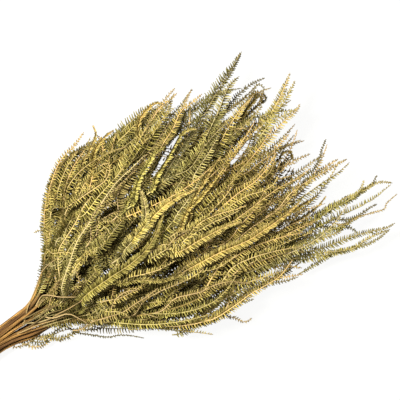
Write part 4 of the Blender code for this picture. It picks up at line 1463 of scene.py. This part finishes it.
# %% Leaflet sizes
LEAFLET_RIDGE = 0.00026
LEAFLET_PLACE, LEAFLET_LENGTH = (0.25, 0.75), (0.85, 1.10)  # in its space, and of the half width
LEAFLET_LEAN, LEAN_SPREAD, LEAN_AT_TIP = (0.00, 0.32), 0.07, 0.35
RAISED_SPREAD = 6.0  # degrees
NARROWEST, FULL_LENGTH = 0.62, 0.009  # short leaflets are narrower too
ARCH_SPREAD, DROOP_SPREAD = (0.2, 1.8), (-0.3, 1.6)
LEAFLET_LOWEST = 0.0001
TURNED_AT_TIP, TURNED_SPREAD = 0.22, 0.05
LEAFLET_WIDTHS = (1.15, 0.80, 0.45)  # at the foot, the waist and the tip
WAIST, WAIST_ARCH, DROOP, SWEEP = 0.55, 0.07, 0.10, 0.12
# Painted shade for leaves deep inside the bunch, with less of it towards the right, where the bunch
# is thin.
INNER_DEPTH, INNER_PAINTED_SHADE = (0.004, 0.022), 0.85
THIN_LESS_PAINTED_SHADE, THIN_FROM = 0.42, (0.20, 0.32)
# Leaves and ribs get darker towards each frond's tip.
TIP_DARKENING = 0.20
LEAF, RIB, BARK, CUT = range(4)
BLADE_QUADS = np.array([[i + k, (i + 1) % 3 + k, (i + 1) % 3 + 3 + k, i + 3 + k]
                        for k in (0, 3) for i in range(3)])
BLADE_ENDS = np.array([[2, 1, 0], [6, 7, 8]])
print("leaflet of", len(BLADE_QUADS) + len(BLADE_ENDS), "faces")

# %% How bright a leaf is
def painted_light_share(points, tier):
    """Near 1 at the outside of the bunch, less for leaves deep inside it, where shade is painted."""
    height = pressed(points, points, tier)[:, 2]
    squares = tuple(squares_under(points).T)
    depth = np.minimum(upper_side[squares] - height, 2 * (height - lower_side[squares]))
    # Painted shade: deeper leaves get more, and there is less of it towards the right, where the
    # bunch is thin.
    dull = INNER_PAINTED_SHADE - THIN_LESS_PAINTED_SHADE * ease(points[:, 0], *THIN_FROM)
    return 1 - dull * ease(depth, *INNER_DEPTH)


print("leaves inside the bunch keep", round(1 - INNER_PAINTED_SHADE, 2), "of their light")

# %% Grow a frond's leaflets
def leaflet_row(frond, side, growth, rng, look):
    """The leaflets down one side of a frond."""
    spacing = rng.uniform(*frond.habit["spacing"])
    count = int(frond.length * (LAST_LEAFLET - PETIOLE) / spacing)
    place = (np.arange(count) + rng.uniform(*LEAFLET_PLACE, count)) / count
    t = PETIOLE + (LAST_LEAFLET - PETIOLE) * place
    ahead, up, left = frond.directions(t)
    foot = frond.centreline(t) + up * RIB_HEIGHT / 3
    length = frond.half_width(t) * rng.uniform(*LEAFLET_LENGTH, count)
    raised = frond.raised + np.radians(rng.normal(0, RAISED_SPREAD, count))
    lean = rng.uniform(*LEAFLET_LEAN) + rng.normal(0, LEAN_SPREAD, count) + LEAN_AT_TIP * t**3
    out = side * left * np.cos(raised)[:, None] + up * np.sin(raised)[:, None] + ahead * lean[:, None]
    out = unit(out)
    above = unit(np.cross(ahead * side, out))
    along = np.cross(out, above)
    narrowed = np.minimum(1, NARROWEST + length / FULL_LENGTH)
    half_width = (rng.uniform(*frond.habit["width"]) / 2 * narrowed)[:, None]
    reach = length[:, None]
    arch = reach * WAIST_ARCH * rng.uniform(*ARCH_SPREAD, count)[:, None]
    droop = reach * DROOP * rng.uniform(*DROOP_SPREAD, count)[:, None]
    middles = [foot, foot + out * reach * WAIST + above * arch,
               foot + out * reach - above * droop + ahead * reach * SWEEP]
    rows = []
    for middle, wide in zip(middles, LEAFLET_WIDTHS):
        rows += [middle + above * LEAFLET_RIDGE * wide]
        below = above * LEAFLET_RIDGE / 3
        rows += [middle + along * edge * half_width * wide - below for edge in (1, -1)]
    points = np.stack(rows, axis=1)
    points[..., 2] = np.maximum(points[..., 2], LEAFLET_LOWEST)
    start = np.arange(count)[:, None, None] * len(rows)
    quads = (BLADE_QUADS[None] + start).reshape(-1, 4)
    ends = (BLADE_ENDS[None] + start).reshape(-1, 3)
    outward = np.tile([0.0] * 3 + [0.5] * 3 + [1.0] * 3, count)
    ridge = np.tile([1.0, 0.0, 0.0] * 3, count)
    turned = look["turned"] + TURNED_AT_TIP * t**3 + rng.normal(0, TURNED_SPREAD, count)
    chance = np.repeat(rng.random(count), len(rows))
    # The stored light: the frond's own lightness, with painted shade deep in the bunch and darker
    # towards the tip.
    light = look["light"] * painted_light_share(foot, frond.tier) * (1 - TIP_DARKENING * t**4)
    growth.add(points, (quads, ends), LEAF, feet=np.repeat(foot, len(rows), axis=0), tier=frond.tier,
               drawn=id(frond) in drawn_leaf, outward=outward, ridge=ridge, chance=chance,
               turned=np.repeat(turned, len(rows)), greyed=look["greyed"],
               light=np.repeat(light, len(rows)))


print("leaflets ready")

# %% [markdown]
# ## The rib
#
# The rib is a thin woody line, pale on top, that carries the leaflets. It is thickest where it
# leaves the stem and runs out to nothing at the tip. It starts inside its stem, so that the two look
# grown together.

# %% Grow a frond's rib
RIB_RADIUS, RIB_TIP_RADIUS = 0.00082, 0.00045
RIB_LIFT = 0.00035
RIB_STATION = 0.0055
RIB_SIDES, RIB_FEWEST = 4, 8
RIB_TURNED_AT_TIP = 0.25
GRAIN_SHIFT = 9  # metres; the grain of each tube starts somewhere else in the noise


def rib(frond, growth, rng, look):
    """The frond's rib, from inside its stem to the tip."""
    stations = max(RIB_FEWEST, int(frond.length / RIB_STATION))
    t = np.linspace(0, 1, stations)
    ahead, up, left = frond.directions(t)
    line = frond.centreline(t) + up * (RIB_HEIGHT / 3 + RIB_LIFT)
    line[:, 2] = np.maximum(line[:, 2], RIB_TIP_RADIUS)
    radii = frond.stout * (RIB_RADIUS + (RIB_TIP_RADIUS - RIB_RADIUS) * t**0.7)
    walls, ends = tube_faces(stations, RIB_SIDES)
    points = rings_along(line, left, up, radii, RIB_SIDES)
    turned = look["turned"] + RIB_TURNED_AT_TIP * t**2
    # The stored light: the frond's own lightness, with painted shade deep in the bunch and darker
    # towards the tip.
    light = look["light"] * painted_light_share(line, frond.tier) * (1 - TIP_DARKENING * t**4)
    growth.add(points, [walls, *ends], RIB, turned=np.repeat(turned, RIB_SIDES), tier=frond.tier,
               feet=np.repeat(line, RIB_SIDES, axis=0), drawn=id(frond) in drawn_leaf,
               outward=np.repeat(t, RIB_SIDES), greyed=look["greyed"], chance=rng.random(),
               light=np.repeat(light, RIB_SIDES),
               grain=tube_grain(line, RIB_SIDES, rng.uniform(0, GRAIN_SHIFT)))


print("rib ready")

# %% [markdown]
# ## Bare stems
#
# Below its leaves a stem is a straight golden-brown rod, a little lumpy where old leaves dropped
# off, and cut square at the foot. The lumps are a sum of waves along the stem, and the cut end is a
# face of its own, so that it can show pale wood.

# %% Grow a stem
STEM_SIDES = 9
STEM_STATION = 0.006
BARE_END = 0.012
KNOT_SPACING, KNOT_SIZE = 0.021, 0.09
BARK_RADIUS, THINNED, THINNED_OVER = 0.93, 0.25, (0.08, 0.25)  # thinner than the plain stem
YOUNG_OVER = (0.07, 0.20)  # where old bark gives way to young
BEVEL, STUB = 0.0004, 0.5


def bare_stem(stem, growth, rng):
    """The woody part of a stem, from its cut end to its last frond."""
    end = max(frond.root for frond in fronds[stem.number]) + BARE_END
    distance = np.arange(-stem.tail, end, STEM_STATION)
    distance = np.concatenate([distance[:1], distance[:1] + BEVEL, distance[1:], [end]])
    line = stem.at(distance)
    left, up = level_directions(line)
    left[0], up[0] = left[1], up[1]
    phase = rng.uniform(0, 6.28)  # somewhere in a full wave
    lumps = 1 + KNOT_SIZE * np.maximum(0, np.sin(distance / KNOT_SPACING * 6.28 + phase)) ** 6
    radii = stem.radius(distance) * (BARK_RADIUS - THINNED * ease(distance, *THINNED_OVER)) * lumps
    radii[0] -= BEVEL
    radii[-1] *= STUB
    walls, ends = tube_faces(len(distance), STEM_SIDES)
    points = rings_along(line, left, up, radii, STEM_SIDES)
    grain = tube_grain(line, STEM_SIDES, rng.uniform(0, GRAIN_SHIFT))
    chance = rng.random()
    young = np.repeat(ease(distance, *YOUNG_OVER), STEM_SIDES)
    feet = np.repeat(line, STEM_SIDES, axis=0)
    growth.add(points, [walls, ends[1]], BARK, grain=grain, feet=feet, chance=chance, outward=young)
    growth.add(points[0], [ends[0]], CUT, grain=grain[0], feet=feet[:STEM_SIDES], chance=chance)


print("stems ready")

# %% [markdown]
# ## How each leaf has aged
#
# The colour of a dried leaf depends on where it sat. Leaves in the middle keep a yellow green. Those
# on the right, at the edge of the shoulder and at most tips have turned to gold. The spikes at the
# top and the sprays that trail to the far right have gone dull. Painting each frond would take a
# day, so three numbers say all that: turned, greyed and light. Drawn fronds take theirs from a
# table of kinds, and the others from where they lie.

# %% Look of a frond
KINDS = {  # turned, greyed, light
    "lime": (0.10, 0.00, 1.00), "green": (0.25, 0.05, 0.80), "olive": (0.22, 0.25, 0.55),
    "straw": (0.45, 0.10, 0.98), "gold": (0.72, 0.05, 0.95), "pale": (0.30, 0.55, 0.95),
    "tan": (0.85, 0.40, 0.75), "grey": (0.20, 0.65, 0.58), "dark": (0.20, 0.85, 0.28),
    "brown": (1.00, 0.40, 0.40), "moss": (0.15, 0.28, 0.85), "twig": (0.90, 0.20, 0.45),
    "old twig": (1.00, 0.50, 0.15), "young twig": (0.60, 0.30, 0.65),
}
# where each group of leaves begins and is complete, along and across from the tie
RIGHT, EDGE = ((0.18, 0.38), (0.03, 0.08)), ((0.16, 0.28), (0.05, 0.10))
SPIKES, TRAIL = ((0.30, 0.38), (0.035, 0.075)), ((0.36, 0.43), (0.07, 0.11))
LOOK_AT_SHARE = 0.6  # a frond's look goes by this point of it
TURNED_PLAIN, RIGHT_TURNED, EDGE_TURNED, TRAIL_GREEN = 0.20, 0.50, 0.35, 0.4
SPIKES_GREY, SPIKES_RANGE, TRAIL_GREY = 0.70, (0.2, 1), 0.5
RIGHT_LIGHT, SPIKES_DARK, EDGE_DARK = 0.50, 0.15, 0.12
TURN_SPREAD, GREY_SPREAD, LIGHT_RANGE = 0.12, (0.10, 0.20), (0.45, 0.95)
LOOK_JITTER = 0.07
LEFT_DULL, LEFT_TO = 0.13, (0.18, 0.34)


def look_of(frond, rng):
    """How far a frond has turned to gold, how grey it is, and how light."""
    x, y, _ = frond.centreline(np.array([LOOK_AT_SHARE]))[0]
    if id(frond) in drawn_leaf:
        turned, greyed, light = KINDS[drawn_leaf[id(frond)]]
    else:
        right = ease(x, *RIGHT[0]) * (1 - ease(y, *RIGHT[1]))
        edge = ease(y, *EDGE[1]) * (1 - ease(x, *EDGE[0]))
        spikes = ease(y, *SPIKES[1]) * ease(x, *SPIKES[0])
        trail = ease(-y, *TRAIL[1]) * ease(x, *TRAIL[0])
        turned = TURNED_PLAIN + RIGHT_TURNED * right + EDGE_TURNED * edge - TRAIL_GREEN * trail
        turned += rng.normal(0, TURN_SPREAD)
        greyed = SPIKES_GREY * spikes * rng.uniform(*SPIKES_RANGE) + TRAIL_GREY * trail
        greyed += max(0, rng.normal(*GREY_SPREAD))
        light = rng.uniform(*LIGHT_RANGE) + RIGHT_LIGHT * right
        light = light - SPIKES_DARK * spikes - EDGE_DARK * edge
    light *= 1 - LEFT_DULL * (1 - ease(x, *LEFT_TO))
    jitter = rng.normal(0, LOOK_JITTER, 3)
    values = np.clip(np.array([turned, greyed, light]) + jitter, 0, 1)
    return dict(zip(("turned", "greyed", "light"), values.tolist()))


look_draws = np.random.default_rng(SEED + 2)
looks = {id(frond): look_of(frond, look_draws) for rows in fronds.values() for frond in rows}
print("mean turn", round(float(np.mean([look["turned"] for look in looks.values()])), 2))

# %% [markdown]
# ## The leaf's finish
#
# Close up, a dry leaflet is patchy yellow green and gold, with fine specks. Light and shade are
# painted on it too: bright where it would catch the light and dark olive where it wouldn't, painted
# shade at its edges and towards its foot, and a painted highlight along its rolled ridge. An image
# could hold all that, but would repeat on thousands of leaflets. So the colour is built in layers. A
# shade, part random tone and part painted shade, comes from the stored light, chance, specks, the
# place along the leaflet and the ridge. Green and gold each run from dark to light by it, the turn
# mixes them, the ridge gets its painted highlight, and grey comes last.

# %% Leaflet finish
# Each leaf colour in painted shade and in painted light; the shade below picks between them.
GREEN_LEAF = (0.015, 0.013, 0.0008), (0.450, 0.398, 0.072)  # in shade and in light
GOLD_LEAF = (0.029, 0.017, 0.001), (0.525, 0.358, 0.072)
DULL_LEAF = (0.019, 0.017, 0.003), (0.338, 0.312, 0.136)
RIDGE_HIGHLIGHT = (0.600, 0.540, 0.280)


def leaf_finish():
    """Dry leaflets, from olive green to gold and grey."""
    leaf = Finish("dry_leaf")
    turned, greyed, light = leaf.stored("turned"), leaf.stored("greyed"), leaf.stored("light")
    outward, chance, ridge = leaf.stored("outward"), leaf.stored("chance"), leaf.stored("ridge")
    patches = leaf.noise(60.0, 4.0, 0.6)
    specks = leaf.noise(900.0, 2.0)
    # Painted shade from the stored light, darker towards each leaflet's foot, with random chance and
    # specks.
    shade = light * (0.22 + chance * 0.85) + (outward - 0.5) * 0.22 + 0.05 - (specks - 0.5) * 0.3
    # Painted shade at each leaflet's edges, painted light along its ridge.
    shade = shade.held() ** 1.3 * (0.12 + ridge * 1.15)
    green = leaf.mixed(shade.held(), *GREEN_LEAF)
    gold = leaf.mixed(shade.held(), *GOLD_LEAF)
    colour = leaf.mixed((turned + (patches - 0.5) * 0.8).held(), green, gold)
    # A painted highlight along the ridge, strongest towards the tip and where the leaflet is painted
    # lit.
    colour = leaf.mixed((ridge * outward * shade * 0.50).held(), colour, RIDGE_HIGHLIGHT)
    dull = leaf.mixed(shade.held(), *DULL_LEAF)
    colour = leaf.mixed((greyed * 0.9).held(), colour, dull)
    return leaf.ends(colour, 0.45 + patches * 0.3, specks, 0.0002, 0.3)


leaf_material = leaf_finish()
print("leaf finish made")

# %% [markdown]
# ## The rib's finish
#
# The rib is woodier than the leaflets and dries to a pale straw or tan, with streaks along it. One
# plain colour would do at this size, but ribs deep in the bunch would then shine through. So the
# turn mixes a fresh and a dry colour, grey dulls them, and the stored light darkens the inner ones.

# %% Rib finish
FRESH_RIB = (0.300, 0.265, 0.080), (0.520, 0.460, 0.200)  # between and on the streaks
DRY_RIB = (0.390, 0.250, 0.095), (0.600, 0.420, 0.200)
GREY_RIB, SHADED_RIB = (0.320, 0.290, 0.180), (0.060, 0.042, 0.010)


def rib_finish():
    """Pale woody ribs with streaks."""
    finish = Finish("dry_rib")
    turned, greyed, light = finish.stored("turned"), finish.stored("greyed"), finish.stored("light")
    streaks = finish.noise(40.0, 3.0, 0.6, finish.stored("grain", "Vector"))
    fresh, dry = finish.mixed(streaks, *FRESH_RIB), finish.mixed(streaks, *DRY_RIB)
    colour = finish.mixed((turned * 1.2).held(), fresh, dry)
    colour = finish.mixed((greyed * 0.7).held(), colour, GREY_RIB)
    colour = finish.mixed((light * 1.1).held(), SHADED_RIB, colour)
    return finish.ends(colour, 0.5, streaks, 0.0002, 0.3)


rib_material = rib_finish()
print("rib finish made")

# %% [markdown]
# ## Bark and cut wood
#
# The bark is golden brown with long darker streaks. Noise in plain space would give blots, so it is
# taken on the stored place along and round the stem, stretched lengthwise. Each stem has a tint of
# its own and turns greener where it is young. The cut end shows pale, rough wood.

# %% Bark and cut-end finishes
BARK_STRETCH = (22.0, 2.4, 2.4)
OLD_BARK = (0.150, 0.070, 0.018), (0.540, 0.300, 0.080)  # the darkest and the lightest stem
BARK_STREAK, BARK_FLECK = (0.026, 0.011, 0.005), (0.400, 0.240, 0.085)
YOUNG_BARK = (0.200, 0.150, 0.050)
CUT_WOOD = (0.420, 0.300, 0.160), (0.680, 0.540, 0.330)


def bark_finish():
    """Streaked bark, golden brown where it is old."""
    bark = Finish("stem_bark")
    stretched = bark.along_grain(BARK_STRETCH)
    streaks = bark.noise(1.0, 5.0, 0.65, stretched)
    fine = bark.noise(4.5, 3.0, 0.6, stretched)
    chance, young = bark.stored("chance"), bark.stored("outward")
    warm = bark.mixed(((chance - 0.25) * 2.0).held(), *OLD_BARK)
    colour = bark.mixed(((streaks - 0.44) * 4.5).held(), BARK_STREAK, warm)
    colour = bark.mixed(((fine - 0.56) * 2.0).held(), colour, BARK_FLECK)
    colour = bark.mixed((young * 0.75).held(), colour, YOUNG_BARK)
    return bark.ends(colour, 0.5 + fine * 0.2, streaks + fine * 0.5, 0.0006, 0.6)


def cut_finish():
    """Pale, rough wood where a stem was cut."""
    cut = Finish("cut_wood")
    rough = cut.noise(1500.0, 4.0)
    return cut.ends(cut.mixed(rough, *CUT_WOOD), 0.85, rough, 0.0003, 0.5)


leafy_finishes = [leaf_material, rib_material, bark_finish(), cut_finish()]
print(len(leafy_finishes), "finishes on a leafy stem")

# %% [markdown]
# ## Leaflets on the stem itself
#
# Above the first fork a real stem isn't bare: short leaflets line it between the fronds. They could
# be a new kind of part, but a stem with two rows of leaflets is a frond that doesn't bend away, so
# it borrows everything from one and only says where it lies.

# %% Leaflets along a stem
STEM_COMB_FROM = 0.125  # distance from the tie where leaflets start on the stem itself
STEM_COMB_REACH, STEM_COMB_RAISED = (0.0045, 0.0065), (10, 40)


class StemComb(Frond):
    """The upper part of a stem, seen as the rib of a comb of its own."""

    def __init__(self, stem, rng):
        self.stem, self.root = stem, STEM_COMB_FROM
        self.length = max(frond.root for frond in fronds[stem.number]) - self.root
        self.swing = self.lift = self.hook = 0.0
        self.reach = rng.uniform(*STEM_COMB_REACH)
        self.raised, self.roll = math.radians(rng.uniform(*STEM_COMB_RAISED)), 0.0
        self.habit = FIRM

    def half_width(self, t):
        """How far the leaflets reach; the row ends at the last fork without a taper."""
        return self.reach * np.minimum(1, BLADE_START + BLADE_SWELL * t)


print("stems get leaflets from", STEM_COMB_FROM, "m on")

# %% [markdown]
# ## Putting the leafy stems together
#
# A stem with its twigs and leaves grew as one, so it becomes one piece, which takes the place of its
# plain solid and moves with the bunch. Single fronds as pieces would be hundreds of them. It keeps
# the plain solid's place and form, with finer leaflets and more fronds.

# %% Build the leafy stems
SLOTS = ("olive_leaf", "moss_leaf", "straw_leaf", "ochre_leaf")


def leafy_stem(stem, rng):
    """One stem with all its fronds, as one piece."""
    growth = Growth()
    bare_stem(stem, growth, rng)
    for frond in fronds[stem.number]:
        look = looks[id(frond)]
        rib(frond, growth, rng, look)
        for side in (1, -1) if frond.reach else ():
            leaflet_row(frond, side, growth, rng, look)
    comb = StemComb(stem, rng)
    for side in (1, -1):
        leaflet_row(comb, side, growth, rng, look_of(comb, rng))
    piece = growth.piece(f"dressed_stem_{stem.number:02d}", leafy_finishes)
    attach(piece, "root")
    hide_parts(f"leafy_stem_{stem.number:02d}")
    SLOTS[stem.number % len(SLOTS)]
    return piece


leaflet_draws = np.random.default_rng(SEED + 3)
dressed = [leafy_stem(stem, leaflet_draws) for stem in stems]
triangles = [sum(len(face.vertices) - 2 for face in piece.data.polygons) for piece in dressed]
print(len(dressed), "leafy stems,", sum(triangles), "triangles, at most", max(triangles), "in one")

# %% [markdown]
# ## The twine tie
#
# The bunch is held by three turns of thin plant-fibre twine. Twine is two strands laid round each
# other, so each strand is a tube that circles the twine's own line. The twine's line is a coil round
# the stems, drawn with the same turns and radius as the plain ring.

# %% Wind the twine
STRAND_RADIUS, STRAND_OFFSET = 0.00074, 0.00056
TWIST_LENGTH = 0.0075
STRAND_SIDES, STRAND_STATION = 6, 0.0011
OFF_THE_LINE = (0.94, 0.18, 0.29)  # a direction that the twine never takes
COIL_POINTS = 240


def strands(line, growth, rng):
    """Two strands laid round each other along a line."""
    along = distances(line)
    even = np.arange(0, along[-1], STRAND_STATION)
    line = read_off(even, along, line)
    ahead = unit(np.gradient(line, axis=0))
    left = unit(np.cross(ahead, OFF_THE_LINE))
    up = np.cross(ahead, left)
    for start in (0, math.pi):
        angle = even / TWIST_LENGTH * 2 * math.pi + start
        offset = left * np.cos(angle)[:, None] + up * np.sin(angle)[:, None]
        strand = line + offset * STRAND_OFFSET
        walls, ends = tube_faces(len(strand), STRAND_SIDES)
        points = rings_along(strand, left, up, np.full(len(strand), STRAND_RADIUS), STRAND_SIDES)
        growth.add(points, [walls, *ends], 0, chance=rng.random(),
                   grain=tube_grain(strand, STRAND_SIDES, start))


def twine_coil():
    """The turns round the stems, from the cut-end side to the leaf side."""
    angle = np.linspace(0, TWINE_TURNS * 2 * math.pi, COIL_POINTS) + math.pi / 2
    radius = TIE_INNER + TWINE_DIAMETER / 2
    x = np.linspace(-1, 1, len(angle)) * (TIE_HALF_WIDTH - TWINE_DIAMETER / 2)
    return np.stack([x, radius * np.cos(angle), TIE_HEIGHT + radius * np.sin(angle)], axis=1)


print("coil of", round(float(distances(twine_coil())[-1]), 3), "m")

# %% [markdown]
# ## The knot and the finish of the twine
#
# The turns end in a small knot with two cut ends that lie over the stems. A true knot has a long
# path of its own, and at this size only a lump shows, so a closed loop with three crossings stands
# for it. The twine is tan and dull, and its fibres run along each strand.

# %% Knot the twine
KNOT_WIDTH, KNOT_HEIGHT, KNOT_STRETCH = 0.0042, 0.0022, 1.2
KNOT_POINTS, END_POINTS = 90, 30
TWINE_END, END_START, END_LIFT = 0.030, 0.002, 0.0012
FIBRE_STRETCH = (260.0, 5.0, 5.0)
TWINE_COLOURS = (0.230, 0.150, 0.070), (0.640, 0.480, 0.280)


def twine_knot():
    """A small closed knot on top of the tie."""
    t = np.linspace(0, 2 * math.pi, KNOT_POINTS)
    x = KNOT_WIDTH / 3 * (np.sin(t) + 2 * np.sin(2 * t))
    y = KNOT_WIDTH / 3 * (np.cos(t) - 2 * np.cos(2 * t)) * KNOT_STRETCH
    z = TIE_HEIGHT + TIE_OUTER + KNOT_HEIGHT / 2 - KNOT_HEIGHT / 2 * np.sin(3 * t)
    return np.stack([x, y, z], axis=1)


def twine_end(direction):
    """A short cut end that leaves the knot and curves down over the stems."""
    t = np.linspace(0, 1, END_POINTS)
    x = direction * (END_START + 0.75 * TWINE_END * t)
    y = direction * 0.004 * np.sin(2.4 * t) + 0.55 * TWINE_END * t**1.5
    z = TIE_HEIGHT + TIE_OUTER + END_LIFT + 0.0035 * np.sin(math.pi * t) - 0.0020 * t
    return np.stack([x, y, z], axis=1)


def twine_finish():
    """Dull tan twine with fibres along its strands."""
    twine = Finish("twine_fibre")
    fibres = twine.noise(1.0, 5.0, 0.7, twine.along_grain(FIBRE_STRETCH))
    colour = twine.mixed(((fibres - 0.3) * 2.2).held(), *TWINE_COLOURS)
    return twine.ends(colour, 0.9, fibres, 0.0005, 0.8)


twine_draws = np.random.default_rng(SEED + 4)
wound = Growth()
for path in (twine_coil(), twine_knot(), twine_end(1), twine_end(-1)):
    strands(path, wound, twine_draws)
twine_piece = wound.piece("wound_twine", [twine_finish()])
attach(twine_piece, "root")
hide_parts("twine_tie")
print("twine of", len(twine_piece.data.polygons), "faces")
